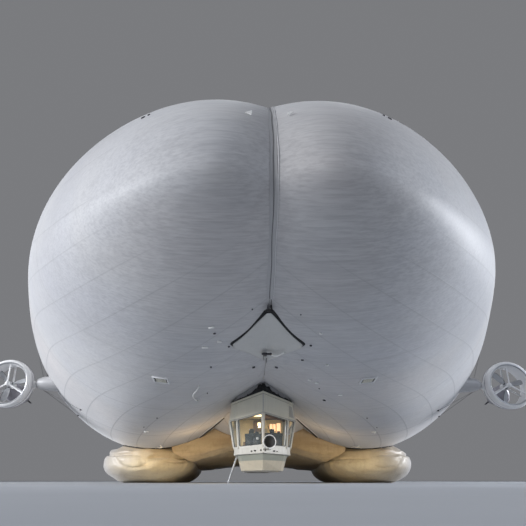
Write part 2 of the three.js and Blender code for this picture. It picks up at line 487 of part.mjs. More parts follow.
// flight deck, hung modules, seats and boarding ladder
const deck = cab();
put('flight_deck_floor', deck.lower, 'panel');
put('flight_deck_walls', deck.shell, 'white');
put('flight_deck_roof', deck.roof, 'white');
put('flight_deck_collar', deck.collar, 'dark');
put('flight_deck_door', deck.door, 'white');
for (const [n, s] of Object.entries(deck.panes)) put(n, s, 'glass');
put('payload_module', hungModule(MODULE), 'panel');
put('aft_module', hungModule(AFT_MODULE), 'panel');
const FLOOR = CAB.levels.sill.z + GAP / S;
for (const [name, s] of FORWARD) {
  const x = s * 0.62, t = 20.2;
  const seat = box(M(x - 0.26), M(x + 0.26), Y(t), Y(t + 0.5), M(FLOOR), M(FLOOR + 0.5))
    .add(box(M(x - 0.26), M(x + 0.26), Y(t + 0.5), Y(t + 0.64), M(FLOOR), M(FLOOR + 1.25)));
  put(`pilot_seat_${name}`, seat, 'seat');
}
put('console', [[-1.0, -0.2, 0.76], [0.3, 1.05, 0.8], [-0.3, 0.4, 0.3]]
  .map(([x0, x1, h]) => box(M(x0), M(x1), Y(18.85), Y(19.35), M(FLOOR), M(FLOOR + h))).reduce((a, b) => a.add(b)), 'dark');
{
  const rails = [], t0 = 20.9;
  const foot = [-2.0, 0.0], head = [-1.54, 1.42];
  for (const dt of [-0.3, 0.3]) rails.push(rod([M(foot[0]), Y(t0 + dt), 4.2], [M(head[0]), Y(t0 + dt), M(head[1])], 4, 6));
  for (let i = 0; i < 5; i++) {
    const k = (i + 0.6) / 5, x = foot[0] + (head[0] - foot[0]) * k, z = 0.042 + (head[1] - foot[1]) * k;
    rails.push(rod([M(x), Y(t0 - 0.3), M(z)], [M(x), Y(t0 + 0.3), M(z)], 2.5, 6));
  }
  put('boarding_ladder', rails.reduce((a, b) => a.add(b)), 'white');
}

// propulsors
for (const [name, s] of FORWARD) {
  const u = FRONT_UNIT, x = s * u.x;
  const axisT = u.t + 0.1, edge = x - s * (DUCT.rOut - 0.08);
  // trunnion on the duct's inboard side
  const stub = rod([M(edge), Y(axisT), M(u.z)], [M(x - s * (DUCT.rOut + 0.16)), Y(axisT), M(u.z)], M(0.2), 14);
  put(`forward_duct_${name}`, ductSolid(x, u.t, u.z, stub, 1, true), 'white');
  put(`forward_engine_${name}`, engineBlock(x, u.t, u.z), 'grey');
  put(`forward_propeller_${name}`, propeller(x, u.t, u.z), 'prop');
  // rounded pod from the envelope out to the trunnion, with its frame behind the duct
  const px = x - s * (DUCT.rOut + 0.22), rows = [[0, 0.28], [0.12, 0.42], [0.45, 0.56], [1.2, 0.66], [2.6, 0.7]];
  const pod = loft(rows.map(([d, r]) => [...Array(14).keys()].map((i) => {
    const a = (i + 0.5) / 14 * 2 * Math.PI;
    return [M(px - s * d), Y(axisT + 1.35 * r * Math.cos(a)), M(u.z + 0.1 + 0.85 * r * Math.sin(a))];
  })));
  const P = (dx, dt, dz) => [M(px - s * dx), Y(axisT + dt), M(u.z + dz)];
  const bars = [
    [P(0.9, 0.4, 0.2), P(3.4, 1.9, 1.4), 0.12], [P(0.9, 0.4, 0.0), P(3.2, 1.7, -1.3), 0.12], [P(0.9, -0.4, 0.2), P(3.4, -1.6, 1.3), 0.12],
    [P(0.5, 0.5, 0.3), P(0.1, 1.75, 1.3), 0.11], [P(0.1, 1.75, 1.3), P(1.75, 2.4, 3.6), 0.11], [P(0.1, 1.75, 1.3), P(2.2, 1.8, 1.2), 0.09],
  ];
  const frame = bars.reduce((m, [p, q, r]) => m.add(rod(p, q, M(r), 8)), pod);
  put(`forward_mount_${name}`, frame.subtract(grownLobe(s, GAP * 2)), 'grey');
}
for (const [name, s] of FORWARD) {
  const u = REAR_UNIT, x = s * u.x;
  put(`rear_duct_${name}`, ductSolid(x, u.t, u.z, null, -1), 'white');
  put(`rear_propeller_${name}`, propeller(x, u.t, u.z, -1), 'prop');
  // engine cowling from the flat tail of the lobe to the duct's hub
  const ring = (t, k) => [...Array(12).keys()].map((i) => {
    const a = (i + 0.5) / 12 * 2 * Math.PI;
    return [M(x + k * Math.cos(a)), Y(t), M(u.z + k * Math.sin(a))];
  });
  const end = u.t - 0.62 - GAP / S;
  put(`rear_engine_${name}`, loft([ring(HULL.end + GAP / S, 0.98), ring(88.2, 0.86), ring(end - 0.9, 0.5), ring(end, 0.27)]), 'grey');
}

// fins and their control surfaces
const hinges = {};
for (const f of FINS) {
  const { body, surf, axis } = finPieces(f);
  put(f.name, body, 'fin');
  put(f.name.replace('fin', 'rudder'), surf, 'fin');
  hinges[f.name] = axis;
}

export default craft;
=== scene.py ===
# Hybrid airship, three-lobed envelope on two pneumatic skids, scale model 1:10.
# Frame: bow towards -Y, +X right as seen from the front, +Z up, floor at Z = 0. All lengths in the
# tables are real metres (t is metres aft of the bow tip); P() turns them into model metres.
import math
import bpy
import bmesh
import numpy as np
from mathutils import Vector, Matrix, noise


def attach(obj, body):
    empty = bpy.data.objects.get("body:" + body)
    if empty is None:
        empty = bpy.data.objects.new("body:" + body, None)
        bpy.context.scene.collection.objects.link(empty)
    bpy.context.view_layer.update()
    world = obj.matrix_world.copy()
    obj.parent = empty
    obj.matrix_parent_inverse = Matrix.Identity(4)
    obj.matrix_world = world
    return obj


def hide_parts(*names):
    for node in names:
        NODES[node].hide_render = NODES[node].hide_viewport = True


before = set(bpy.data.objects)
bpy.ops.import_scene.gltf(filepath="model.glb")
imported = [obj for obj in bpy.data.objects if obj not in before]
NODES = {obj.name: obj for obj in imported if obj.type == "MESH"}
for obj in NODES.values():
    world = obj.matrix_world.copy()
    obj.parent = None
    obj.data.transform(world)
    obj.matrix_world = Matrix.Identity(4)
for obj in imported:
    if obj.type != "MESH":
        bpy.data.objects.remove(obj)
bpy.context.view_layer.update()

S = 0.1
LENGTH = 92.0
PI = math.pi


def clamp(v, a=0.0, b=1.0):
    return max(a, min(b, v))


def smooth(v, a, b):
    u = clamp((v - a) / (b - a))
    return u * u * (3 - 2 * u)


def P(x, t, z):
    return Vector((x * S, (t - LENGTH / 2) * S, z * S))


# ------------------------------------------------------------------ camera
def make_camera():
    cam = bpy.data.cameras.new("camera")
    cam.sensor_width = 36.0
    cam.lens = 36.0 * 520.69 / 526.0
    cam.clip_start = 0.02
    cam.clip_end = 300.0
    o = bpy.data.objects.new("camera", cam)
    bpy.context.scene.collection.objects.link(o)
    o.location = P(-0.581, -12.844, 0.1625)
    yaw, pitch = math.radians(1.112), math.radians(22.7)
    # yaw turns the axis towards +X
    ahead = Vector((math.sin(yaw) * math.cos(pitch), math.cos(yaw) * math.cos(pitch), math.sin(pitch)))
    o.rotation_euler = ahead.to_track_quat("-Z", "Y").to_euler()
    bpy.context.scene.camera = o


make_camera()

# ------------------------------------------------------------------ hull shape, the same formulas as the frame's
HULL = dict(
    rMax=10.596, noseLen=44.223, noseP=3.46, noseQ=1.815,
    cBow=1.750, cMax=9.916, cLen=43.097, cE=1.708,
    zBow=8.663, zMax=13.782, zLen=22.719, zE=1.91,
    flatBow=0.399, flatLen=22.823,
    tailFrom=44.0, tailLen=44.2, tailP=2.3, tailQ=1.45,
    cTailFrom=48.0, cTailDrop=3.7, zTailDrop=0.9, tailE=1.8,
    centreFrom=12.0, centreGrow=22.0, centreK=0.93,
    keel=0.4, keelFrom=22.0, keelFull=36.0, keelTo=66.0, keelEnd=82.0,
    end=87.4, centreEnd=86.2,
)


def hull_at(t):
    h = HULL
    R = h["rMax"] * (1 - clamp(1 - max(t, 0.01) / h["noseLen"]) ** h["noseP"]) ** (1 / h["noseQ"])
    c = h["cBow"] + (h["cMax"] - h["cBow"]) * math.sin(clamp(t / h["cLen"]) * PI / 2) ** h["cE"]
    z = h["zBow"] + (h["zMax"] - h["zBow"]) * math.sin(clamp(t / h["zLen"]) * PI / 2) ** h["zE"]
    if t > h["tailFrom"]:
        R = h["rMax"] * clamp(1 - ((t - h["tailFrom"]) / h["tailLen"]) ** h["tailP"]) ** (1 / h["tailQ"])
    if t > h["cTailFrom"]:
        u = ((t - h["cTailFrom"]) / 44) ** h["tailE"]
        c = h["cMax"] - h["cTailDrop"] * u
        z = h["zMax"] - h["zTailDrop"] * u
    flat = h["flatBow"] + (1 - h["flatBow"]) * math.sin(clamp(t / h["flatLen"]) * PI / 2)
    w = math.sqrt(max(R * R - c * c, 0))
    u = clamp((t - h["centreFrom"]) / h["centreGrow"])
    Rc = w + (h["centreK"] * R - w) * u * u * (3 - 2 * u)
    wall = 0.0 if t < h["centreFrom"] else (c * c + Rc * Rc - R * R) / (2 * c)
    wall = max(wall, 0.0)
    if c >= R + Rc:
        wall = (c - R + Rc) / 2
    keel = h["keel"] * smooth(t, h["keelFrom"], h["keelFull"]) * (1 - smooth(t, h["keelTo"], h["keelEnd"]))
    return R, c, z, Rc, flat, wall, keel


def lobe_point(t, a, s, out=0.0):
    """Point of the outer lobe on side s at station t and angle a (0 outboard, 90 degrees up), out metres proud."""
    R, c, z, Rc, flat, wall, keel = hull_at(t)
    sn = math.sin(a)
    rise = sn * (flat * R + out) - keel * sn ** 4 if sn < 0 else sn * (R + out)
    return Vector((s * (c + (R + out) * math.cos(a)), t, z + rise))


def lobe_normal(t, a, s):
    e = 0.02
    du = lobe_point(t, a + 0.003, s) - lobe_point(t, a - 0.003, s)
    dv = lobe_point(t + e, a, s) - lobe_point(max(t - e, 0.012), a, s)
    n = du.cross(dv)
    n.normalize()
    R, c, z, Rc, flat, wall, keel = hull_at(t)
    ref = Vector((s * math.cos(a), 0, math.sin(a)))
    return n if n.dot(ref) > 0 else -n


def lobe_angle(t, x, upper=False):
    """Angle on the outer lobe at which its skin has this |x|, on the lower or the upper half."""
    R, c, z, Rc, flat, wall, keel = hull_at(t)
    a = math.acos(clamp((abs(x) - c) / R, -1, 1))
    return a if upper else -a


def on_hull(x, t, out=0.0, upper=False):
    """Real point on the skin at x and t, and the outward normal."""
    s = -1 if x < 0 else 1
    a = lobe_angle(t, x, upper)
    n = lobe_normal(t, a, s)
    return lobe_point(t, a, s) + n * out, n


def real(v):
    return P(v[0], v[1], v[2])


# ------------------------------------------------------------------ mesh helpers
def new_object(name, verts, faces, mat, body="hull", slot=None, smooth_shade=True, fix=True, angle=None):
    me = bpy.data.meshes.new(name)
    me.from_pydata([tuple(v) for v in verts], [], faces)
    me.update()
    if fix:
        bm = bmesh.new()
        bm.from_mesh(me)
        bmesh.ops.remove_doubles(bm, verts=bm.verts, dist=2e-6)
        bmesh.ops.recalc_face_normals(bm, faces=bm.faces)
        bm.to_mesh(me)
        bm.free()
    me.polygons.foreach_set("use_smooth", [smooth_shade] * len(me.polygons))
    o = bpy.data.objects.new(name, me)
    bpy.context.scene.collection.objects.link(o)
    me.materials.append(mat)
    if angle is not None:
        sharpen(me, angle)
    if body:
        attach(o, body)
    return o


def sharpen(me, degrees):
    """Marks edges sharper than this as sharp, so that smooth shading keeps them crisp."""
    bm = bmesh.new()
    bm.from_mesh(me)
    lim = math.radians(degrees)
    for e in bm.edges:
        e.smooth = not (len(e.link_faces) == 2 and e.calc_face_angle(0.0) > lim)
    bm.to_mesh(me)
    bm.free()


def join(parts):
    """(verts, faces) lists joined into one."""
    V, F = [], []
    for v, f in parts:
        k = len(V)
        V.extend(v)
        F.extend([tuple(i + k for i in q) for q in f])
    return V, F


def loft(rings, closed=True, caps=True):
    """Quads through rings of equal count, in real metres or model metres alike."""
    n = len(rings[0])
    V = [p for r in rings for p in r]
    F = []
    for i in range(len(rings) - 1):
        for j in range(n if closed else n - 1):
            a, b = i * n + j, i * n + (j + 1) % n
            F.append((a, b, b + n, a + n))
    if caps:
        F.append(tuple(range(n))[::-1])
        F.append(tuple(range((len(rings) - 1) * n, len(rings) * n)))
    return V, F


def tube(pts, r, sides=10, closed=False, r_end=None, squash=None):
    """Round tube along points; r may taper to r_end."""
    pts = [Vector(p) for p in pts]
    n = len(pts)
    rings = []
    ref = None
    for i, p in enumerate(pts):
        if closed:
            d = pts[(i + 1) % n] - pts[i - 1]
        else:
            d = pts[min(i + 1, n - 1)] - pts[max(i - 1, 0)]
        d.normalize()
        if ref is None:
            ref = Vector((0, 0, 1)) if abs(d.z) < 0.9 else Vector((1, 0, 0))
        u = d.cross(ref).normalized()
        v = u.cross(d).normalized()
        ref = v
        rr = r if r_end is None else r + (r_end - r) * i / (n - 1)
        rings.append([p + (u * math.cos(2 * PI * k / sides) + v * math.sin(2 * PI * k / sides)) * rr for k in range(sides)])
    if closed:
        rings.append(rings[0])
        return loft(rings, caps=False)
    return loft(rings)


def box_part(a, b, bevel=0.0):
    """Box between two corners with chamfered edges."""
    a, b = Vector(a), Vector(b)
    lo = Vector([min(a[i], b[i]) for i in range(3)])
    hi = Vector([max(a[i], b[i]) for i in range(3)])
    c = bevel
    if c <= 0:
        xs = [(lo.x, lo.y), (hi.x, lo.y), (hi.x, hi.y), (lo.x, hi.y)]
        return loft([[Vector((x, y, z)) for x, y in xs] for z in (lo.z, hi.z)])
    rings = []
    for z, k in ((lo.z, 1), (lo.z + c, 0), (hi.z - c, 0), (hi.z, 1)):
        x0, x1, y0, y1 = lo.x + c * k, hi.x - c * k, lo.y + c * k, hi.y - c * k
        q = c * 0.7
        rings.append([Vector(p) for p in ((x0 + q, y0, z), (x1 - q, y0, z), (x1, y0 + q, z), (x1, y1 - q, z), (x1 - q, y1, z), (x0 + q, y1, z), (x0, y1 - q, z), (x0, y0 + q, z))])
    return loft(rings)


def turned(parts, matrix):
    V, F = parts
    return [matrix @ Vector(v) for v in V], F


def scaled(parts):
    """Real metres (x, t, z) to model metres."""
    V, F = parts
    return [real(v) for v in V], F


def lathe_y(profile, sides, at, closed_profile=True):
    """Profile of (radius, axial) turned round an axis along Y through at, real metres."""
    rings = []
    for r, a in profile:
        rings.append([Vector((at[0] + r * math.cos(2 * PI * k / sides), at[1] + a, at[2] + r * math.sin(2 * PI * k / sides))) for k in range(sides)])
    if closed_profile:
        rings.append(rings[0])
        return loft(rings, caps=False)
    return loft(rings)


def hull_path(points, out=0.03, steps=8, upper=False):
    """Points along the skin between (x, t) stops, real metres."""
    res = []
    for (x0, t0), (x1, t1) in zip(points, points[1:]):
        for i in range(steps):
            k = i / steps
            res.append(on_hull(x0 + (x1 - x0) * k, t0 + (t1 - t0) * k, out, upper)[0])
    res.append(on_hull(points[-1][0], points[-1][1], out, upper)[0])
    return res


def ribbon(points, width, thick, upper=False, steps=8, lift=0.0):
    """Flat strip laid on the skin along (x, t) stops, real metres; closed body."""
    mids = []
    for (x0, t0), (x1, t1) in zip(points, points[1:]):
        for i in range(steps):
            k = i / steps
            mids.append((x0 + (x1 - x0) * k, t0 + (t1 - t0) * k))
    mids.append(points[-1])
    pn = [on_hull(x, t, 0.0, upper) for x, t in mids]
    rings = []
    for i, (p, n) in enumerate(pn):
        d = pn[min(i + 1, len(pn) - 1)][0] - pn[max(i - 1, 0)][0]
        side = d.cross(n).normalized() * width / 2
        lo, hi = n * (lift - thick * 0.5), n * (lift + thick)
        rings.append([p - side + lo, p - side * 0.8 + hi, p + side * 0.8 + hi, p + side + lo])
    return loft(rings)


# ------------------------------------------------------------------ materials
class Mat:
    """A procedural material; methods add nodes and return output sockets."""

    def __init__(self, name, colour=(0.5, 0.5, 0.5), rough=0.5, metal=0.0, **more):
        self.m = bpy.data.materials.new(name)
        self.m.use_nodes = True
        self.t = self.m.node_tree
        self.b = self.t.nodes["Principled BSDF"]
        self.b.inputs["Base Color"].default_value = (*colour, 1)
        self.b.inputs["Roughness"].default_value = rough
        self.b.inputs["Metallic"].default_value = metal
        for k, v in more.items():
            key = k.replace("_", " ")
            self.b.inputs[key].default_value = v
        self.m.diffuse_color = (*colour, 1)
        self.coord = self.t.nodes.new("ShaderNodeTexCoord").outputs["Object"]

    def node(self, kind, **props):
        n = self.t.nodes.new(kind)
        for k, v in props.items():
            setattr(n, k, v)
        return n

    def link(self, a, b):
        self.t.links.new(a, b)

    def put(self, socket, value):
        if isinstance(value, bpy.types.NodeSocket):
            self.link(value, socket)
        else:
            socket.default_value = value

    def mapped(self, scale=(1, 1, 1), rot=(0, 0, 0), loc=(0, 0, 0), source=None):
        n = self.node("ShaderNodeMapping")
        self.link(source or self.coord, n.inputs["Vector"])
        n.inputs["Scale"].default_value = scale
        n.inputs["Rotation"].default_value = rot
        n.inputs["Location"].default_value = loc
        return n.outputs["Vector"]

    def noise(self, scale, detail=3.0, rough=0.5, vector=None, distort=0.0):
        n = self.node("ShaderNodeTexNoise")
        self.link(vector or self.coord, n.inputs["Vector"])
        n.inputs["Scale"].default_value = scale
        n.inputs["Detail"].default_value = detail
        n.inputs["Roughness"].default_value = rough
        n.inputs["Distortion"].default_value = distort
        return n.outputs["Fac"]

    def voronoi(self, scale, vector=None, feature="F1", out="Distance"):
        n = self.node("ShaderNodeTexVoronoi", feature=feature)
        self.link(vector or self.coord, n.inputs["Vector"])
        n.inputs["Scale"].default_value = scale
        return n.outputs[out]

    def wave(self, scale, vector=None, distort=0.0, axis="X", detail=2.0, dscale=1.0, profile="SIN"):
        n = self.node("ShaderNodeTexWave", bands_direction=axis, wave_profile=profile)
        self.link(vector or self.coord, n.inputs["Vector"])
        n.inputs["Scale"].default_value = scale
        n.inputs["Distortion"].default_value = distort
        n.inputs["Detail"].default_value = detail
        n.inputs["Detail Scale"].default_value = dscale
        return n.outputs["Fac"]

    def math(self, op, a, b=0.0, c=None, limit=False):
        n = self.node("ShaderNodeMath", operation=op, use_clamp=limit)
        self.put(n.inputs[0], a)
        self.put(n.inputs[1], b)
        if c is not None:
            self.put(n.inputs[2], c)
        return n.outputs[0]

    def range(self, v, a, b, c=0.0, d=1.0, kind="LINEAR"):
        n = self.node("ShaderNodeMapRange", interpolation_type=kind)
        self.put(n.inputs["Value"], v)
        n.inputs["From Min"].default_value = a
        n.inputs["From Max"].default_value = b
        n.inputs["To Min"].default_value = c
        n.inputs["To Max"].default_value = d
        return n.outputs["Result"]

    def mix(self, fac, a, b, blend="MIX"):
        n = self.node("ShaderNodeMix", data_type="RGBA", blend_type=blend)
        self.put(n.inputs["Factor"], fac)
        for key, v in (("A", a), ("B", b)):
            s = [i for i in n.inputs if i.name == key and i.type == "RGBA"][0]
            if isinstance(v, tuple):
                v = (*v, 1) if len(v) == 3 else v
            self.put(s, v)
        return [o for o in n.outputs if o.type == "RGBA"][0]

    def xyz(self, source=None):
        n = self.node("ShaderNodeSeparateXYZ")
        self.link(source or self.coord, n.inputs[0])
        return n.outputs

    def attribute(self, name, out="Fac"):
        n = self.node("ShaderNodeAttribute", attribute_name=name)
        return n.outputs[out]

    def bump(self, height, strength=0.2, distance=0.002, normal=None):
        n = self.node("ShaderNodeBump")
        self.link(height, n.inputs["Height"])
        n.inputs["Strength"].default_value = strength
        n.inputs["Distance"].default_value = distance
        if normal is not None:
            self.link(normal, n.inputs["Normal"])
        return n.outputs["Normal"]

    def colour(self, socket):
        self.link(socket, self.b.inputs["Base Color"])

    def roughness(self, socket):
        self.link(socket, self.b.inputs["Roughness"])

    def normal(self, socket):
        self.link(socket, self.b.inputs["Normal"])


def painted(name, colour, rough=0.4, metal=0.0, dirt=0.12, dirt_colour=None, grain=0.15, scale=1.0, coat=0.0, wear=0.0, wear_colour=(0.5, 0.5, 0.5)):
    """Painted or moulded surface: cloudy tint, fine speckle, grime that runs down, worn spots."""
    m = Mat(name, colour, rough, metal)
    m.b.inputs["Coat Weight"].default_value = coat
    dark = dirt_colour or tuple(c * 0.62 for c in colour)
    cloud = m.noise(9 * scale, 4, 0.6)
    fine = m.noise(160 * scale, 3, 0.6)
    runs = m.noise(1.0, 4, 0.65, m.mapped((70 * scale, 70 * scale, 7 * scale)))
    f = m.math("MULTIPLY", m.range(cloud, 0.35, 0.75), m.range(runs, 0.4, 0.75))
    base = m.mix(m.math("MULTIPLY", f, dirt * 3.0, limit=True), colour, dark)
    base = m.mix(m.range(fine, 0.35, 0.65, 0.0, 0.10), base, tuple(min(1, c * 1.2) for c in colour))
    if wear > 0:
        w = m.noise(60 * scale, 6, 0.75)
        base = m.mix(m.math("MULTIPLY", m.range(w, 0.62, 0.7), wear, limit=True), base, wear_colour)
    m.colour(base)
    m.roughness(m.range(m.noise(24 * scale, 5, 0.6), 0.3, 0.7, rough - 0.08, rough + 0.12))
    m.normal(m.bump(m.noise(220 * scale, 3, 0.6), grain, 0.0006))
    return m.m


def metal_mat(name, colour, rough=0.35, scale=1.0, metal=0.9):
    m = Mat(name, colour, rough, metal)
    brushed = m.noise(1.0, 4, 0.7, m.mapped((400 * scale, 30 * scale, 400 * scale)))
    cloud = m.noise(18 * scale, 4, 0.6)
    m.colour(m.mix(m.range(cloud, 0.3, 0.75, 0.0, 0.55), colour, tuple(c * 0.55 for c in colour)))
    m.roughness(m.range(brushed, 0.25, 0.75, rough - 0.1, rough + 0.16))
    m.normal(m.bump(brushed, 0.12, 0.0004))
    return m.m


def envelope_mat():
    m = Mat("envelope_fabric", (0.55, 0.55, 0.56), 0.46)
    m.b.inputs["Sheen Weight"].default_value = 0.22
    m.b.inputs["Sheen Roughness"].default_value = 0.45
    m.b.inputs["Specular IOR Level"].default_value = 0.30
    m.b.inputs["Coat Weight"].default_value = 0.04
    m.b.inputs["Coat Roughness"].default_value = 0.45
    lobe = m.attribute("lobe", "Vector")            # arc length, station and ring number, model metres
    axes = m.xyz(lobe)
    arc, sta = axes[0], axes[1]
    # fine short streaks across the craft, slow blotches, faint tints
    streak = m.noise(1.0, 6, 0.66, m.mapped((8, 120, 120)))
    streak2 = m.noise(1.0, 4, 0.6, m.mapped((2.2, 26, 30)))
    blot = m.noise(1.1, 4, 0.58)
    tint = m.noise(0.9, 3, 0.5, m.mapped((1, 1, 1), loc=(7, 3, 1)))
    # lengthwise gore seams every 0.22 m of arc, hoop seams every 0.92 m
    gore = m.math("PINGPONG", arc, 0.11)
    seam_a = m.range(gore, 0.0, 0.0018, 1.0, 0.0)
    tape_a = m.range(gore, 0.0052, 0.0060, 1.0, 0.0)
    hoop = m.math("PINGPONG", sta, 0.46)
    seam_b = m.range(hoop, 0.0, 0.0020, 1.0, 0.0)
    tape_b = m.range(hoop, 0.0085, 0.0095, 1.0, 0.0)
    tip = m.math("MULTIPLY", m.range(sta, 0.12, 0.40), m.range(sta, 8.25, 8.5, 1.0, 0.0))
    seam = m.math("MULTIPLY", m.math("MAXIMUM", seam_a, seam_b), tip)
    tape = m.math("MULTIPLY", m.math("MAXIMUM", tape_a, tape_b), tip)
    # wider load bands every third hoop, sun-greyed panels between them
    band = m.range(m.math("PINGPONG", sta, 1.38), 0.0, 0.030, 1.0, 0.0)
    panel = m.noise(1.0, 1, 0.0, m.mapped((2.2, 1.05, 1), source=lobe))
    aft = m.range(sta, 1.2, 2.6)
    c = m.mix(m.range(blot, 0.3, 0.7), (0.60, 0.60, 0.605), (0.475, 0.475, 0.49))
    c = m.mix(m.range(tint, 0.45, 0.7, 0.0, 0.5), c, (0.60, 0.545, 0.53))
    c = m.mix(m.range(tint, 0.5, 0.3, 0.0, 0.4), c, (0.50, 0.52, 0.60))
    c = m.mix(m.range(streak, 0.40, 0.78, 0.0, 0.55), c, (0.74, 0.74, 0.74))
    c = m.mix(m.range(streak, 0.52, 0.22, 0.0, 0.40), c, (0.36, 0.36, 0.375))
    c = m.mix(m.range(streak2, 0.48, 0.8, 0.0, 0.42), c, (0.38, 0.38, 0.40))
    c = m.mix(m.math("MULTIPLY", m.range(panel, 0.42, 0.6), m.range(aft, 0, 1, 0.10, 0.42)), c, (0.42, 0.425, 0.44))
    c = m.mix(m.math("MULTIPLY", tape, m.range(aft, 0, 1, 0.16, 0.55)), c, (0.38, 0.385, 0.40))
    c = m.mix(m.math("MULTIPLY", band, m.math("MULTIPLY", aft, 0.35)), c, (0.36, 0.365, 0.38))
    c = m.mix(m.math("MULTIPLY", seam, m.range(aft, 0, 1, 0.35, 0.8)), c, (0.20, 0.20, 0.215))
    m.colour(c)
    m.roughness(m.range(streak, 0.3, 0.75, 0.46, 0.62))
    h = m.math("ADD", m.math("MULTIPLY", streak, 0.5), m.math("MULTIPLY", streak2, 0.9))
    n1 = m.bump(h, 0.30, 0.004)
    n2 = m.bump(m.math("SUBTRACT", m.math("MULTIPLY", tape, 0.5), m.math("MULTIPLY", seam, 0.8)), 0.5, 0.001, n1)
    weave = m.wave(260, m.mapped((1, 1, 1), source=lobe), 0.4, "X")
    m.normal(m.bump(weave, 0.02, 0.0003, n2))
    return m.m


def fin_mat():
    """Doped skin over ribs and spars: taut between them, rubbed along the rib caps."""
    m = Mat("fin_skin", (0.64, 0.64, 0.65), 0.42)
    m.b.inputs["Coat Weight"].default_value = 0.06
    ax = m.xyz()
    rib = m.math("PINGPONG", m.math("ABSOLUTE", ax[0]), 0.050)
    spar = m.math("PINGPONG", ax[1], 0.130)
    cap = m.math("MAXIMUM", m.range(rib, 0.0, 0.0042, 1.0, 0.0), m.range(spar, 0.0, 0.0055, 1.0, 0.0))
    line = m.math("MAXIMUM", m.range(rib, 0.0042, 0.0052, 1.0, 0.0), m.range(spar, 0.0055, 0.0066, 1.0, 0.0))
    line = m.math("SUBTRACT", line, cap, limit=True)
    cloud = m.noise(7, 5, 0.6)
    fine = m.noise(150, 3, 0.6)
    c = m.mix(m.range(cloud, 0.3, 0.72), (0.66, 0.66, 0.665), (0.53, 0.535, 0.55))
    c = m.mix(m.range(fine, 0.4, 0.7, 0.0, 0.14), c, (0.76, 0.76, 0.76))
    c = m.mix(m.math("MULTIPLY", cap, 0.40), c, (0.42, 0.425, 0.44))
    c = m.mix(m.math("MULTIPLY", line, 0.65), c, (0.22, 0.22, 0.235))
    m.colour(c)
    m.roughness(m.range(m.noise(22, 4, 0.6), 0.3, 0.7, 0.36, 0.52))
    sag = m.range(rib, 0.0, 0.05, 1.0, 0.0)
    n1 = m.bump(sag, 0.35, 0.004)
    m.normal(m.bump(m.math("SUBTRACT", m.math("MULTIPLY", cap, 0.5), line), 0.4, 0.0006, n1))
    return m.m


def skid_mat(name="skid_fabric", light=(0.76, 0.67, 0.47), mid=(0.62, 0.51, 0.33), deep=(0.37, 0.26, 0.14), top=None, sides=True):
    m = Mat(name, mid, 0.45)
    m.b.inputs["Sheen Weight"].default_value = 0.2
    m.b.inputs["Coat Weight"].default_value = 0.12
    m.b.inputs["Coat Roughness"].default_value = 0.35
    cloud = m.noise(4.0, 5, 0.6)
    creases = m.noise(1.0, 5, 0.65, m.mapped((7, 30, 26)))
    upright = m.noise(1.0, 4, 0.62, m.mapped((46, 20, 6)))
    fine = m.noise(1.0, 4, 0.7, m.mapped((70, 190, 120)))
    z = m.xyz()[2]
    c = m.mix(m.range(cloud, 0.3, 0.72), light, mid)
    c = m.mix(m.range(creases, 0.45, 0.8, 0.0, 0.5), c, deep)
    c = m.mix(m.range(upright, 0.5, 0.8, 0.0, 0.35), c, deep)
    c = m.mix(m.range(fine, 0.5, 0.8, 0.0, 0.25), c, tuple(min(1, v * 1.25) for v in light))
    # darker towards the top, up under the envelope: painted shade of the overhang
    if top:
        c = m.mix(m.range(z, top[0], top[1], 0.0, top[2]), c, deep)
    if sides:
        # outer shoulders: a darker mauve band as painted shade, then a cooler lilac-grey outer end as painted side
        # light
        out = m.math("ABSOLUTE", m.xyz()[0])
        shoulder_shade_and_light_x = m.math("ADD", out, m.math("MULTIPLY", m.math("SUBTRACT", cloud, 0.5), 0.22))
        c = m.mix(m.range(shoulder_shade_and_light_x, 0.94, 1.22, 0.0, 0.7), c, (0.33, 0.295, 0.255))
        c = m.mix(m.range(shoulder_shade_and_light_x, 1.24, 1.42, 0.0, 0.8), c, (0.40, 0.395, 0.40))
    c = m.mix(m.math("MULTIPLY", m.range(z, 0.0, 0.05, 1.0, 0.0), 0.45), c, (0.24, 0.19, 0.12))   # darker towards the floor
    m.colour(c)
    m.roughness(m.range(fine, 0.3, 0.75, 0.36, 0.58))
    n1 = m.bump(creases, 0.5, 0.010)
    n2 = m.bump(upright, 0.35, 0.006, n1)
    m.normal(m.bump(fine, 0.2, 0.0012, n2))
    return m.m


def glass_mat():
    m = Mat("cab_glass", (0.55, 0.62, 0.62), 0.04)
    m.b.inputs["Alpha"].default_value = 0.06
    smear = m.noise(14, 5, 0.6)
    m.roughness(m.range(smear, 0.35, 0.8, 0.02, 0.16))
    m.colour(m.mix(m.range(m.noise(40, 3, 0.6), 0.5, 0.8, 0.0, 0.2), (0.5, 0.58, 0.58), (0.35, 0.38, 0.36)))
    m.normal(m.bump(m.noise(6, 2, 0.5), 0.04, 0.002))
    return m.m


def emission_mat(name, colour, strength):
    m = Mat(name, colour, 0.4)
    m.b.inputs["Emission Color"].default_value = (*colour, 1)
    m.b.inputs["Emission Strength"].default_value = strength
    n = m.noise(40, 2, 0.5)
    m.colour(m.mix(m.range(n, 0.3, 0.7, 0.0, 0.2), colour, (1, 1, 1)))
    return m.m


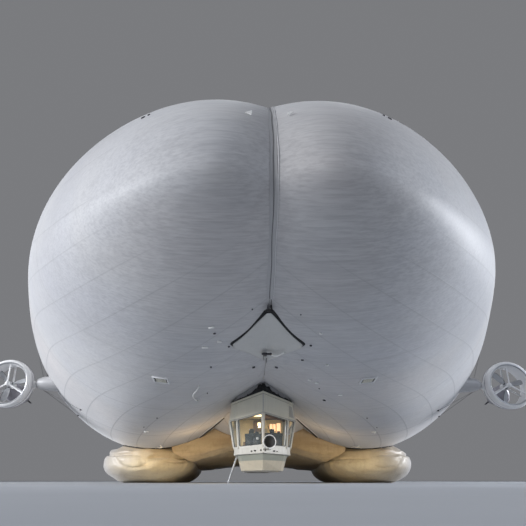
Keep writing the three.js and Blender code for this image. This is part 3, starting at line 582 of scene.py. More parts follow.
def cab_lower_mat():
    """Lower panels of the flight deck: white sill band, grey-green chin darkened as painted shade where it faces down,
    beige pan, by height.
    """
    m = Mat("cab_lower_panel", (0.5, 0.5, 0.44), 0.42)
    m.b.inputs["Coat Weight"].default_value = 0.1
    z = m.xyz()[2]
    dirt = m.noise(1.0, 4, 0.65, m.mapped((60, 60, 9)))
    cloud = m.noise(14, 4, 0.6)
    # the grey-green band over the chin is darker as painted shade; beige below, pale sill band above
    c = m.mix(m.range(z, 0.1195, 0.1205), (0.44, 0.385, 0.29), (0.215, 0.225, 0.19))
    c = m.mix(m.range(z, 0.1525, 0.1535), c, (0.50, 0.485, 0.44))
    c = m.mix(m.math("MULTIPLY", m.range(cloud, 0.4, 0.75), 0.3), c, (0.30, 0.28, 0.22))
    c = m.mix(m.math("MULTIPLY", m.range(dirt, 0.5, 0.8), 0.35), c, (0.22, 0.20, 0.15))
    m.colour(c)
    m.roughness(m.range(cloud, 0.3, 0.7, 0.34, 0.5))
    m.normal(m.bump(m.noise(200, 3, 0.6), 0.12, 0.0006))
    return m.m


MATS = dict(
    envelope=envelope_mat(),
    # skid and apron: darker towards their tops by height, painted shade under the envelope
    skid=skid_mat(top=(0.17, 0.29, 0.75)),
    apron=skid_mat("apron_fabric", (0.72, 0.58, 0.37), (0.56, 0.42, 0.25), (0.26, 0.17, 0.08), (0.22, 0.36, 0.7), False),
    # white paint toned down to grey-beige: painted shade of the cabin under the envelope
    white=painted("white_paint", (0.49, 0.475, 0.43), 0.36, dirt=0.16, coat=0.12),
    cab=cab_lower_mat(),
    skirt=painted("collar_skirt", (0.50, 0.50, 0.51), 0.5, dirt=0.15, scale=1.5),
    lining=painted("cabin_lining", (0.72, 0.60, 0.36), 0.6, dirt=0.12, scale=2.0),
    redbrown=painted("cabin_ceiling_dark", (0.13, 0.052, 0.035), 0.6, dirt=0.2, scale=2.0),
    brown=painted("cabinet_brown", (0.16, 0.085, 0.03), 0.5, dirt=0.2, scale=3.0),
    fascia=painted("fascia_paint", (0.76, 0.74, 0.635), 0.42, dirt=0.12),
    duct=painted("duct_paint", (0.84, 0.84, 0.84), 0.42, dirt=0.10, coat=0.08),
    grey=painted("grey_metal", (0.20, 0.21, 0.22), 0.42, metal=0.35, dirt=0.2, wear=0.5, wear_colour=(0.42, 0.43, 0.44)),
    engine=painted("engine_grey", (0.36, 0.35, 0.39), 0.38, metal=0.2, dirt=0.22, dirt_colour=(0.13, 0.12, 0.12)),
    prop=painted("propeller_grey", (0.47, 0.48, 0.50), 0.34, metal=0.1, dirt=0.16, wear=0.35, wear_colour=(0.62, 0.62, 0.62)),
    dark=painted("dark_plastic", (0.025, 0.026, 0.028), 0.5, dirt=0.1, dirt_colour=(0.06, 0.055, 0.05), wear=0.2, wear_colour=(0.12, 0.12, 0.12)),
    darkmetal=metal_mat("dark_metal", (0.10, 0.10, 0.11), 0.4),
    alu=metal_mat("ladder_metal", (0.62, 0.63, 0.65), 0.3),
    fin=fin_mat(),
    module=painted("module_panel", (0.58, 0.57, 0.54), 0.42, dirt=0.18, scale=0.8),
    seat=painted("seat_cloth", (0.017, 0.0175, 0.020), 0.85, dirt=0.2, grain=0.6, scale=2.0),
    coal=painted("console_black", (0.011, 0.011, 0.012), 0.7, dirt=0.1, dirt_colour=(0.03, 0.028, 0.024), scale=3.0),
    glass=glass_mat(),
)

# ------------------------------------------------------------------ carried-over frame nodes take a better material
NODE_MATS = {
    "flight_deck_floor": "cab", "flight_deck_walls": "white", "flight_deck_roof": "fascia", "flight_deck_collar": "skirt",
    "flight_deck_door": "white", "payload_module": "module", "aft_module": "module", "console": "coal",
    "pilot_seat_left": "seat", "pilot_seat_right": "seat", "boarding_ladder": "alu", "mooring_fitting": "darkmetal",
    "nose_patch": "envelope",
}
for name, o in NODES.items():
    kind = NODE_MATS.get(name)
    if kind is None:
        if "window" in name or "windshield" in name:
            kind = "glass"
        elif "propeller" in name:
            kind = "prop"
        elif "rear_engine" in name or "duct" in name:
            kind = "duct"
        elif "engine" in name:
            kind = "engine"
        elif "mount" in name:
            kind = "grey"
        elif "fin" in name or "rudder" in name:
            kind = "fin"
        elif "skid" in name or "apron" in name:
            kind = "skid"
        else:
            kind = "envelope"
    if not o.material_slots:
        o.data.materials.append(MATS[kind])
    for sl in o.material_slots:
        sl.link = "OBJECT"
        sl.material = MATS[kind]


# ------------------------------------------------------------------ envelope
def stations_fine(n, t0=0.0, t1=87.4):
    """Stations crowded towards the bow and the stern."""
    out = []
    for u in (i / (n - 1) for i in range(n)):
        k = 0.5 - 0.5 * math.cos(PI * u)
        k = 0.55 * k + 0.45 * u
        k = k ** 1.25 if u < 1 else 1.0
        out.append(t0 + (t1 - t0) * k)
    return out


def lobe_mesh(name, s, nt=210, na=190):
    st = stations_fine(nt)
    rings, lobes = [], []
    for t in st:
        R, c, z, Rc, flat, wall, keel = hull_at(t)
        plane = wall + 0.0015
        half = math.acos(clamp((c - plane) / R, -1, 1))
        ring = []
        for i in range(na):
            a = PI - half - (2 * PI - 2 * half) * (i / (na - 1))
            # the skin pulls in softly where the two lobes press on each other, with slow puckers
            edge = min(i, na - 1 - i) / (na - 1)
            near = math.exp(-(edge * 2 * PI * R / 0.8) ** 1.0) if half > 0.02 else 0.0
            pucker = 0.010 * near * math.sin(t * 9.3 + 1.7 * s) + 0.006 * near * math.sin(t * 23.1)
            ripple = 0.010 * (noise.noise(Vector((a * R * 0.35, t * 0.8, s * 7.0)))) * smooth(t, 1.0, 6.0)
            d = pucker - 0.008 + ripple * 0.8
            p = lobe_point(t, a, s, min(d, 0.0))
            ring.append(real(p))
            lobes.append((a * R * S, t * S, i / na))
        rings.append(ring)
    V, F = loft(rings)
    me_name = name
    o = new_object(me_name, V, F, MATS["envelope"], "hull", "envelope", fix=False)
    me = o.data
    at = me.attributes.new("lobe", "FLOAT_VECTOR", "POINT")
    at.data.foreach_set("vector", [c for v in lobes for c in v])
    bm = bmesh.new()
    bm.from_mesh(me)
    bmesh.ops.recalc_face_normals(bm, faces=bm.faces)
    bm.to_mesh(me)
    bm.free()
    sharpen(me, 50)
    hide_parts("envelope_lobe_left" if s < 0 else "envelope_lobe_right")
    return o


def centre_mesh(name, nt=120, na=40):
    t0, t1 = 14.0, 86.3
    rings, lobes = [], []
    for i in range(nt):
        t = t0 + (t1 - t0) * i / (nt - 1)
        R, c, z, Rc, flat, wall, keel = hull_at(t)
        r = Rc - 0.008
        half = math.asin(clamp(min(wall - 0.0015, r * 0.9999) / r))
        ring = []
        for side in (1, -1):
            for j in range(na):
                a = side * PI / 2 + half - 2 * half * (j / (na - 1))
                sn = math.sin(a)
                rise = sn * flat * r - keel * sn ** 4 if sn < 0 else sn * r
                ring.append(P(r * math.cos(a), t, z + rise))
                lobes.append((a * r * S, t * S, 0.5))
        rings.append(ring)
    V, F = loft(rings)
    o = new_object(name, V, F, MATS["envelope"], "hull", "envelope", fix=False)
    at = o.data.attributes.new("lobe", "FLOAT_VECTOR", "POINT")
    at.data.foreach_set("vector", [c for v in lobes for c in v])
    bm = bmesh.new()
    bm.from_mesh(o.data)
    bmesh.ops.recalc_face_normals(bm, faces=bm.faces)
    bm.to_mesh(o.data)
    bm.free()
    sharpen(o.data, 50)
    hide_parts("envelope_lobe_centre")
    return o


lobe_mesh("envelope_left", -1)
lobe_mesh("envelope_right", 1)
centre_mesh("envelope_centre")


# ------------------------------------------------------------------ skids
SKID = {"from": 35.6, "to": 66.6, "cx": 10.0, "half": 4.5, "innerHalf": 4.3, "innerTaper": 0.05, "below": 1.9, "above": 1.75, "centreZ": 1.7,
        "frontLen": 5.0, "rearLen": 7.5, "rise": 0.55, "eOut": 2.6, "eIn": 2.05}


def skid_point(s, d, q, fold=True):
    """Point of a skid d metres aft of its front at ring angle q (0 outboard), with its soft folds."""
    k = SKID
    a = clamp(1 - d / k["frontLen"])
    b = clamp(1 - (k["to"] - k["from"] - d) / k["rearLen"])
    end = min((1 - a ** 2.4) ** (1 / 2.2), (1 - b ** 2.2) ** 0.5)
    w = max(k["half"] * end, 0.6) if math.cos(q) > 0 else max((k["innerHalf"] - k["innerTaper"] * d) * end, 0.6)
    tall = 0.34 + 0.66 * end ** 0.9
    lift = k["rise"] * a ** 1.8 + 1.0 * b ** 1.8
    cs, sn = math.cos(q), math.sin(q)
    e = k["eOut"] if cs > 0 else k["eIn"]
    px = math.copysign(abs(cs) ** (2 / e), cs) * w
    pz = math.copysign(abs(sn) ** (2 / e), sn) * (k["above"] if sn > 0 else k["below"]) * tall
    low = max(k["centreZ"] + pz, 0.0)
    z = low + lift * clamp((k["centreZ"] - low) / k["centreZ"])
    x = k["cx"] + px
    t = k["from"] + d
    if fold:
        # slack fabric: slow sags, wrinkles that run round the neck, one long fold across the front
        inward = 0.0
        n1 = noise.noise(Vector((x * 0.35, t * 0.22, z * 0.6 + 5 * s)))
        n2 = noise.noise(Vector((x * 1.1 + 9, t * 0.6, z * 2.2 + 3 * s)))
        up = smooth(z, 1.5, 3.0)
        inward += 0.09 + 0.09 * n1 + 0.08 * n2 * (0.4 + up)
        inward += 0.085 * up * (0.5 + 0.5 * math.sin(z * 15.0 + 2.2 * n1 * 3)) * (1 - 0.6 * smooth(t, 42, 52))
        fold_z = 2.15 + 0.35 * smooth(x, 8.0, 12.5) - 0.1 * n1
        inward += 0.20 * math.exp(-((z - fold_z) / 0.15) ** 2) * (1 - smooth(t, 39, 46))
        ridge_z = 2.75 + 0.22 * (x - 8.8) / 1.7
        inward -= 0.09 * math.exp(-((z - ridge_z) / 0.13) ** 2) * (1 - smooth(t, 38.5, 44)) * smooth(x, 6.2, 7.2)
        arc = math.hypot(x - 10.9, (z - 2.6) * 1.35)
        inward += 0.17 * math.exp(-((arc - 2.1) / 0.17) ** 2) * (1 - smooth(t, 38, 42)) * smooth(2.6 - z, 0, 0.8)
        arc = math.hypot(x - 7.2, (z - 2.9) * 1.2)
        inward += 0.13 * math.exp(-((arc - 1.5) / 0.15) ** 2) * (1 - smooth(t, 38, 42)) * smooth(2.9 - z, 0, 0.8)
        # short wrinkles upright on the inner side
        inner = smooth(-cs, 0.2, 0.8)
        inward += 0.07 * inner * (0.5 + 0.5 * math.sin(t * 5.1 + 2.0 * n2)) * smooth(z, 0.3, 1.6)
        flat_part = smooth(z, 0.02, 0.35)
        inward = max(inward, 0.0) * flat_part
        nx, nz = math.copysign(abs(cs) ** (2 - 2 / e), cs) / max(w, 0.1), math.copysign(abs(sn) ** (2 - 2 / e), sn) / 1.8
        ln = math.hypot(nx, nz) or 1
        shrink_t = inward * 0.6 * (a - b)
        x -= inward * nx / ln
        z = max(z - inward * nz / ln, 0.0)
        t += shrink_t
    return Vector((s * x, t, z))


def inside_lobe(p, s):
    R, c, z, Rc, flat, wall, keel = hull_at(p.y)
    dx = abs(p.x) - c
    dz = p.z - z
    r = math.hypot(dx, dz if dz > 0 else dz / flat)
    if r < 1e-6:
        return True
    sn = dz / r
    return r < R + (keel * sn ** 4 if dz < 0 else 0)


def skid_mesh(name, s):
    k = SKID
    L = k["to"] - k["from"]
    nd, nq = 170, 132
    ds = [L * (0.5 - 0.5 * math.cos(PI * i / (nd - 1))) * 0.45 + L * i / (nd - 1) * 0.55 for i in range(nd)]
    rings = [[real(skid_point(s, d, (j + 0.5) / nq * 2 * PI)) for j in range(nq)] for d in ds]
    V, F = loft(rings)
    o = new_object(name, V, F, MATS["skid"], "hull", "skid_fabric")
    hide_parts("skid_left" if s < 0 else "skid_right")
    return o


skid_mesh("skid_cushion_left", -1)
skid_mesh("skid_cushion_right", 1)


# ------------------------------------------------------------------ aprons between the skids and the hung modules
APRON_X = [1.95, 3.05, 4.5, 5.8, 7.8]
APRON = [
    (36.2, 3.75, 3.60, 3.40, 3.20, 3.10),
    (36.8, 3.10, 2.90, 2.55, 2.30, 2.15),
    (38.0, 2.75, 2.50, 2.10, 1.76, 1.50),
    (42.0, 2.35, 2.15, 1.85, 1.60, 1.40),
    (50.0, 1.85, 1.72, 1.55, 1.38, 1.25),
    (60.0, 1.85, 1.72, 1.55, 1.38, 1.25),
    (62.4, 2.60, 2.50, 2.35, 2.20, 2.10),
    (63.4, 4.00, 3.80, 3.60, 3.40, 3.30),
]


def apron_low(t, x):
    """Height of the apron's underside."""
    row = None
    for a, b in zip(APRON, APRON[1:]):
        if a[0] <= t <= b[0]:
            k = (t - a[0]) / (b[0] - a[0])
            row = [a[j] + (b[j] - a[j]) * k for j in range(1, 6)]
    row = row or list(APRON[0 if t < 40 else -1][1:])
    for i in range(4):
        if x <= APRON_X[i + 1] or i == 3:
            k = clamp((x - APRON_X[i]) / (APRON_X[i + 1] - APRON_X[i]))
            return row[i] + (row[i + 1] - row[i]) * k


def belly(t, x):
    """Underside of the envelope at |x|."""
    R, c, z, Rc, flat, wall, keel = hull_at(t)
    low = z
    for cc, rr in ((c, R), (0.0, Rc)):
        d = (x - cc) / rr
        if abs(d) < 1:
            sn = math.sqrt(1 - d * d)
            low = min(low, z - sn * flat * rr - keel * sn ** 4)
    return low


def skid_side(t, z):
    """|x| of a skid's inner side at station t and height z."""
    k = SKID
    d = clamp((t - k["from"]) / (k["to"] - k["from"])) * (k["to"] - k["from"])
    a = clamp(1 - d / k["frontLen"])
    b = clamp(1 - (k["to"] - k["from"] - d) / k["rearLen"])
    end = min((1 - a ** 2.4) ** (1 / 2.2), (1 - b ** 2.2) ** 0.5)
    w = max((k["innerHalf"] - k["innerTaper"] * d) * end, 0.6)
    tall = 0.34 + 0.66 * end ** 0.9
    h = (z - k["centreZ"]) / ((k["above"] if z > k["centreZ"] else k["below"]) * tall)
    return k["cx"] - w * clamp(1 - abs(h) ** k["eIn"]) ** (1 / k["eIn"])


def apron_mesh(name, s):
    nt, nx, nz = 110, 64, 10
    rings = []
    for i in range(nt):
        u = i / (nt - 1)
        t = 36.2 + 27.2 * (0.35 * u ** 2.2 + 0.65 * u if u < 1 else 1.0)
        zo = apron_low(t, 6.5)
        xo = min(skid_side(t, zo) + 0.05, 7.75)
        ring = []
        top = []
        for j in range(nx):
            x = 1.97 + (xo - 1.97) * j / (nx - 1)
            n1 = noise.noise(Vector((x * 0.5, t * 0.25, 4.0 * s)))
            n2 = noise.noise(Vector((x * 1.6, t * 0.7, 9.0 * s)))
            front = 1 - smooth(t, 38.5, 42)
            sag = 0.05 + 0.05 * n1 + 0.04 * n2 + 0.035 * (0.5 + 0.5 * math.sin(x * 7.5 + 2.5 * n1)) * front
            sag += 0.03 * (0.5 + 0.5 * math.sin(x * 2.4 + t * 0.6)) * (1 - front)
            z = apron_low(t, x) + sag
            ring.append(Vector((s * x, t, min(z, belly(t, x) - 0.02))))
        # outboard side follows the skid, then the top lies just under the envelope
        zt = belly(t, xo)
        for j in range(1, nz):
            z = zo + 0.05 + (max(zt - 0.03, zo + 0.06) - zo - 0.05) * j / nz
            ring.append(Vector((s * min(skid_side(t, z) + 0.05, 7.75), t, z)))
        for j in range(nx):
            x = xo - (xo - 1.97) * j / (nx - 1)
            ring.append(Vector((s * x, t, max(belly(t, x) - 0.012, ring[nx - 1 - j].z + 0.005))))
        rings.append(ring)
    V, F = loft(rings)
    o = new_object(name, [real(v) for v in V], F, MATS["apron"], "hull", "skid_fabric", angle=60)
    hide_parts("belly_apron_left" if s < 0 else "belly_apron_right")
    return o


if "belly_apron_left" in NODES:
    apron_mesh("apron_sheet_left", -1)
    apron_mesh("apron_sheet_right", 1)


def skid_contact(s):
    """The line where a skid meets its lobe: inner side from the rear to the front, then back along the outer side."""
    k = SKID
    L = k["to"] - k["from"]
    sides = {1: [], -1: []}
    d = 0.3
    while d < L - 0.3:
        for sign in (1, -1):
            q0, q1 = (0.0, PI / 2) if sign > 0 else (PI, PI / 2)
            if inside_lobe(skid_point(s, d, q1, False), s):
                lo, hi = q0, q1
                for _ in range(22):
                    m = (lo + hi) / 2
                    if inside_lobe(skid_point(s, d, m, False), s):
                        hi = m
                    else:
                        lo = m
                sides[sign].append(skid_point(s, d, lo, False))
        d += 0.08 if d < 6 else 0.5
    return sides[-1][::-1] + sides[1]


def lay_line(pts, every):
    """Points at even spacing along a polyline."""
    out = [pts[0]]
    acc = 0.0
    for a, b in zip(pts, pts[1:]):
        seg = (b - a).length
        while seg > 0 and acc + seg >= every:
            k = (every - acc) / seg
            a = a.lerp(b, k)
            out.append(a.copy())
            seg = (b - a).length
            acc = 0.0
        acc += seg
    return out


CONTACT = {s: lay_line(skid_contact(s), 0.16) for s in (-1, 1)}
MATS["pod"] = painted("pod_paint", (0.46, 0.46, 0.47), 0.4, dirt=0.2, scale=1.5)
MATS["glass_dark"] = painted("door_glass", (0.03, 0.035, 0.038), 0.12, dirt=0.1, dirt_colour=(0.08, 0.08, 0.08), coat=0.6)
MATS["rope"] = painted("attachment_rope", (0.55, 0.50, 0.40), 0.6, dirt=0.2, scale=3)
# black for real seals, the lamp dish and probes, and for dark pieces that are painted shadow: skid contact, diamond
# gap, hatch wells, roof fringe, prow cavity
MATS["gasket"] = painted("black_gasket", (0.012, 0.012, 0.013), 0.7, dirt=0.1, dirt_colour=(0.04, 0.035, 0.03), scale=2)
MATS["envelope_tape"] = painted("envelope_seam_tape", (0.62, 0.62, 0.63), 0.45, dirt=0.1, scale=2)
MATS["tape"] = painted("seam_tape", (0.74, 0.74, 0.75), 0.42, dirt=0.08, scale=2)
for s, side in ((-1, "left"), (1, "right")):
    pts = CONTACT[s]
    up = Vector((0, 0, 1))
    # dark tube along the contact: the curtain's edge, drawn black partly as painted shadow of the gap between lobe and
    # skid
    dark = [p + Vector((0, -0.02, -0.02)) for p in pts]
    V, F = tube([real(p) for p in dark], 0.0055, 8)
    new_object(f"skid_curtain_shadow_{side}", V, F, MATS["gasket"], "hull", "dark_plastic")
    light = [p + Vector((s * 0.0, -0.10, 0.07)) for p in pts]
    V, F = tube([real(p) for p in light], 0.0042, 8)
    # lashing eyes along the rope
    parts = [(V, F)]
    for p in pts[::6]:
        q = real(p + Vector((0, -0.06, 0.03)))
        parts.append(box_part(q - Vector((0.004, 0.004, 0.005)), q + Vector((0.004, 0.004, 0.005)), 0.001))
    V, F = join(parts)
    new_object(f"skid_rope_{side}", V, F, MATS["rope"], "hull", "skid_fabric")

# ------------------------------------------------------------------ bow: crease tape, taut diamond, tabs, hatches, fittings
def crease(t, upper):
    R, c, z, Rc, flat, wall, keel = hull_at(t)
    a = math.acos(clamp(-c / R, -1, 1))
    return lobe_point(t, a if upper else -a, 1)


def crease_path():
    """Valley between the two lobes, from the top round the bow to the diamond's upper corner."""
    t_touch = 0.0
    while hull_at(t_touch)[0] < hull_at(t_touch)[1]:
        t_touch += 0.01
    up = [crease(t_touch + 12.0 * (k / 60) ** 1.6, True) for k in range(60, -1, -1)]
    low = [crease(t_touch + (4.75 - t_touch) * (k / 40) ** 1.6, False) for k in range(1, 41)]
    pts = [Vector((0, p.y, p.z)) for p in up + low]
    return lay_line(pts, 0.12)


CREASE = crease_path()


def inside_hull(p):
    return inside_lobe(p, -1 if p.x < 0 else 1)


def valley_strip(name, offset, width, proud, mat, slot, i0=0, i1=None, wander=0.0):
    """Raised strip beside the crease, laid on the flank of one lobe; proud in real metres."""
    pts = CREASE[i0:i1]
    rings = []
    for i, p in enumerate(pts):
        d = (pts[min(i + 1, len(pts) - 1)] - pts[max(i - 1, 0)]).normalized()
        n = Vector((0, -d.z, d.y))
        if n.dot(p - Vector((0, 22, 11))) < 0:
            n = -n
        x0 = offset + wander * (0.6 * math.sin(i * 0.11) + 0.4 * math.sin(i * 0.37))
        ring = []
        lo_hi = []
        for x in (x0 - width / 2, x0 + width / 2):
            lo, hi = -0.3, 0.5
            for _ in range(16):
                mid = (lo + hi) / 2
                q = Vector((x, p.y, p.z)) + n * mid
                if q.y > 0.02 and inside_hull(q):
                    lo = mid
                else:
                    hi = mid
            lo_hi.append(lo)
        a, b = Vector((x0 - width / 2, p.y, p.z)), Vector((x0 + width / 2, p.y, p.z))
        la, lb = lo_hi
        rings.append([a + n * (la - 0.05), a.lerp(b, 0.15) + n * (la + proud), a.lerp(b, 0.85) + n * (lb + proud), b + n * (lb - 0.05)])
    V, F = loft(rings)
    return new_object(name, [real(v) for v in V], F, mat, "hull", slot)


# dark grey for the crease cord and the diamond's shadow lines: painted shadow, partly the crease's seam
MATS["seamline"] = painted("crease_seam_shadow_grey", (0.15, 0.15, 0.155), 0.6, dirt=0.2, scale=2)
MATS["web"] = painted("crease_web_fabric", (0.50, 0.50, 0.51), 0.5, dirt=0.1, scale=2)


def valley_web(half=0.11):
    """Fabric strip that bridges the crease, with a thin cord sewn down its middle, the seam drawn dark partly as
    painted shadow of the valley.
    """
    pts = CREASE
    rings, cord = [], []
    for i, p in enumerate(pts):
        d = (pts[min(i + 1, len(pts) - 1)] - pts[max(i - 1, 0)]).normalized()
        n = Vector((0, -d.z, d.y))
        if n.dot(p - Vector((0, 22, 11))) < 0:
            n = -n
        w = half * (1 + 0.10 * math.sin(i * 0.23))
        ends = []
        for x in (-w, w):
            lo, hi = -0.3, 0.6
            for _ in range(16):
                mid = (lo + hi) / 2
                q = Vector((x, p.y, p.z)) + n * mid
                if q.y > 0.02 and inside_hull(q):
                    lo = mid
                else:
                    hi = mid
            ends.append(Vector((x, p.y, p.z)) + n * lo)
        a, b = ends
        mid = (a + b) / 2
        rings.append([a - n * 0.05, a + n * 0.006, mid.lerp(a, 0.4) - n * 0.012, mid - n * 0.020, mid.lerp(b, 0.4) - n * 0.012, b + n * 0.006, b - n * 0.05])
        cord.append(real(mid - n * 0.012 + Vector((0.012 * math.sin(i * 0.31), 0, 0))))
    V, F = loft(rings)
    new_object("crease_web", [real(v) for v in V], F, MATS["web"], "hull", "envelope", angle=60)
    V, F = tube(cord, 0.0011, 8)
    new_object("crease_seam_shadow", V, F, MATS["seamline"], "hull", "dark_plastic")


valley_web()
valley_strip("crease_tape", 0.14, 0.03, 0.008, MATS["tape"], "envelope", 62, None, 0.02)

# taut diamond: a stretched sheet over the valley with hollow-cut edges and rounded corners
DIA = [Vector((0, 5.3, 5.86)), Vector((1.5, 7.62, 5.08)), Vector((0, 9.9, 5.0)), Vector((-1.5, 7.62, 5.08))]


def diamond_edge(i, k):
    a, b = DIA[i], DIA[(i + 1) % 4]
    p = a.lerp(b, k)
    mid = Vector((0, 7.6, 5.3))
    pull = 0.10 * math.sin(PI * k) ** 1.0
    d = Vector((mid.x - p.x, mid.y - p.y, 0)).normalized() * pull
    p = p + d
    # round the corner off
    r = 0.085
    if k < r or k > 1 - r:
        c = a if k < r else b
        e = (r - (k if k < r else 1 - k)) / r
        p += (mid - c).normalized() * 0.16 * e * e
    return p


def diamond_ring(scale=1.0, dz=0.0, n=26):
    mid = Vector((0, 7.55, 5.33))
    ring = []
    for i in range(4):
        for j in range(n):
            p = diamond_edge(i, j / n)
            q = mid.lerp(p, scale)
            ring.append(Vector((q.x, q.y, q.z + dz)))
    return ring


def diamond():
    rings = []
    for k in (0.02, 0.12, 0.24, 0.36, 0.5, 0.64, 0.78, 0.9, 0.965, 1.0):
        ring = diamond_ring(k)
        # facet fold down the middle and slight sag between the corners
        for p in ring:
            p.z += 0.03 * math.exp(-(p.x / 0.25) ** 2) * (1 - k) + 0.012 * math.sin(p.x * 7 + p.y * 3) * (1 - k) * k * 4
        rings.append(ring)
    edge = diamond_ring(1.012, 0.035)
    back = diamond_ring(1.0, 0.10)
    rings += [edge, back] + [diamond_ring(k, 0.10) for k in (0.9, 0.5, 0.02)]
    V, F = loft(rings)
    o = new_object("bow_diamond", [real(v) for v in V], F, MATS["envelope_plain"], "hull", "envelope")
    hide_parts("nose_patch")
    # dark tubes in the gap behind the two upper edges as painted shadow, thin painted shadow line behind the lower left
    # one
    ring = diamond_ring(1.03, 0.10)
    n = len(ring) // 4
    parts = [tube([real(v) for v in ring[0:n + 1]], 0.0092, 10, r_end=0.0086), tube([real(v) for v in (ring[3 * n:] + ring[:1])[::-1]], 0.0082, 10, r_end=0.0082)]
    V, F = join(parts)
    new_object("bow_diamond_gap_shadow", V, F, MATS["gasket"], "hull", "dark_plastic")
    ring = diamond_ring(1.015, 0.085)
    parts = [tube([real(v) for v in ring[2 * n:3 * n + 1]], 0.0032, 8), tube([real(v) for v in ring[n:2 * n + 1]], 0.0018, 8)]
    V, F = join(parts)
    new_object("bow_diamond_shadow_cord", V, F, MATS["seamline"], "hull", "dark_plastic")
    # sewn hem: narrow doubled strip inside the edge
    outer, inner = diamond_ring(0.985, -0.004), diamond_ring(0.955, -0.004)
    low = [p + Vector((0, 0, 0.02)) for p in outer], [p + Vector((0, 0, 0.02)) for p in inner]
    V, F = loft([outer, inner, low[1], low[0], outer], caps=False)
    new_object("bow_diamond_hem", [real(v) for v in V], F, MATS["envelope_plain"], "hull", "envelope")


MATS["envelope_plain"] = painted("diamond_fabric", (0.62, 0.62, 0.60), 0.42, dirt=0.12, scale=2.0, grain=0.25)
diamond()


def dpoint(x, t, out=0.0):
    """Point on the diamond's face."""
    a, b, c, d = DIA
    if t < 7.62:
        z = a.z + (b.z - a.z) * (t - a.y) / (b.y - a.y)
    else:
        z = b.z + (c.z - b.z) * (t - b.y) / (c.y - b.y)
    return Vector((x, t, z - out))


def knot():
    parts = []
    # knot and two lines up the crease
    top = Vector((0.0, 5.30, 5.86))
    for sx, length in ((-0.09, 0.26), (0.10, 0.42)):
        pts = []
        for k in range(9):
            u = k / 8
            t = 5.30 - length * 1.6 * u
            q, n = on_hull(0.06 if sx > 0 else -0.06, max(t, 2.0), 0.05)
            pts.append(real(Vector((sx * (1 - 0.5 * u), q.y, q.z - 0.03))))
        parts.append(tube(pts, 0.0014, 8, r_end=0.0009))
    for sx in (-1, 1):
        pts = []
        for k in range(12):
            u = k / 11
            q = diamond_edge(0, u * 0.32) if sx > 0 else diamond_edge(3, 1 - u * 0.32)
            pts.append(real(Vector((q.x * 1.05, q.y - 0.05, q.z + 0.02))))
        parts.append(tube(pts, 0.0032, 8, r_end=0.0014))
    c = Vector((0, -4.1075, 0.5785))
    rings = []
    for i in range(11):
        u = i / 10 * 2 - 1
        r = 0.0058 * math.sqrt(max(0.0, 1 - u * u)) * (1 + 0.12 * math.sin(i * 2.1)) + 0.0003
        rings.append([c + Vector((0.017 * u, r * math.sin(2 * PI * j / 14), r * 0.8 * math.cos(2 * PI * j / 14) - 0.004 * abs(u))) for j in range(14)])
    parts.append(loft(rings))
    V, F = join(parts)
    new_object("bow_knot", V, F, MATS["gasket"], "hull", "dark_plastic")


knot()


def mooring_clevis():
    """Clevis with a cross pin and a hanging ring, in the foot of the crease."""
    parts = []
    for x in (-0.0055, 0.0055):
        rings = []
        outline = [(-4.1035, 0.5800), (-4.1000, 0.5765), (-4.0920, 0.5765), (-4.0740, 0.5880), (-4.0725, 0.6050), (-4.0860, 0.6060), (-4.0990, 0.5980)]
        for dx, k in ((-0.0016, 0.94), (-0.0010, 1.0), (0.0010, 1.0), (0.0016, 0.94)):
            my, mz = -4.0885, 0.5910
            rings.append([Vector((x + dx, my + (y - my) * k, mz + (z - mz) * k)) for y, z in outline])
        parts.append(loft(rings))
    parts.append(tube([Vector((-0.0078, -4.0970, 0.5835)), Vector((0, -4.0970, 0.5835)), Vector((0.0078, -4.0970, 0.5835))], 0.0018, 16))
    parts.append(tube([Vector((-0.0060, -4.0780, 0.6010)), Vector((0, -4.0780, 0.6010)), Vector((0.0060, -4.0780, 0.6010))], 0.0026, 16))
    ring = [Vector((0.0, -4.0990 + 0.0046 * math.sin(2 * PI * j / 24), 0.5822 + 0.0046 * math.cos(2 * PI * j / 24))) for j in range(24)]
    parts.append(tube(ring, 0.0010, 8, closed=True))
    V, F = join(parts)
    o = new_object("mooring_clevis", V, F, MATS["darkmetal"], "hull", "dark_metal", angle=35)
    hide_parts("mooring_fitting")


mooring_clevis()


MATS["strap"] = painted("strap_white", (0.95, 0.95, 0.93), 0.35, dirt=0.04, scale=2)


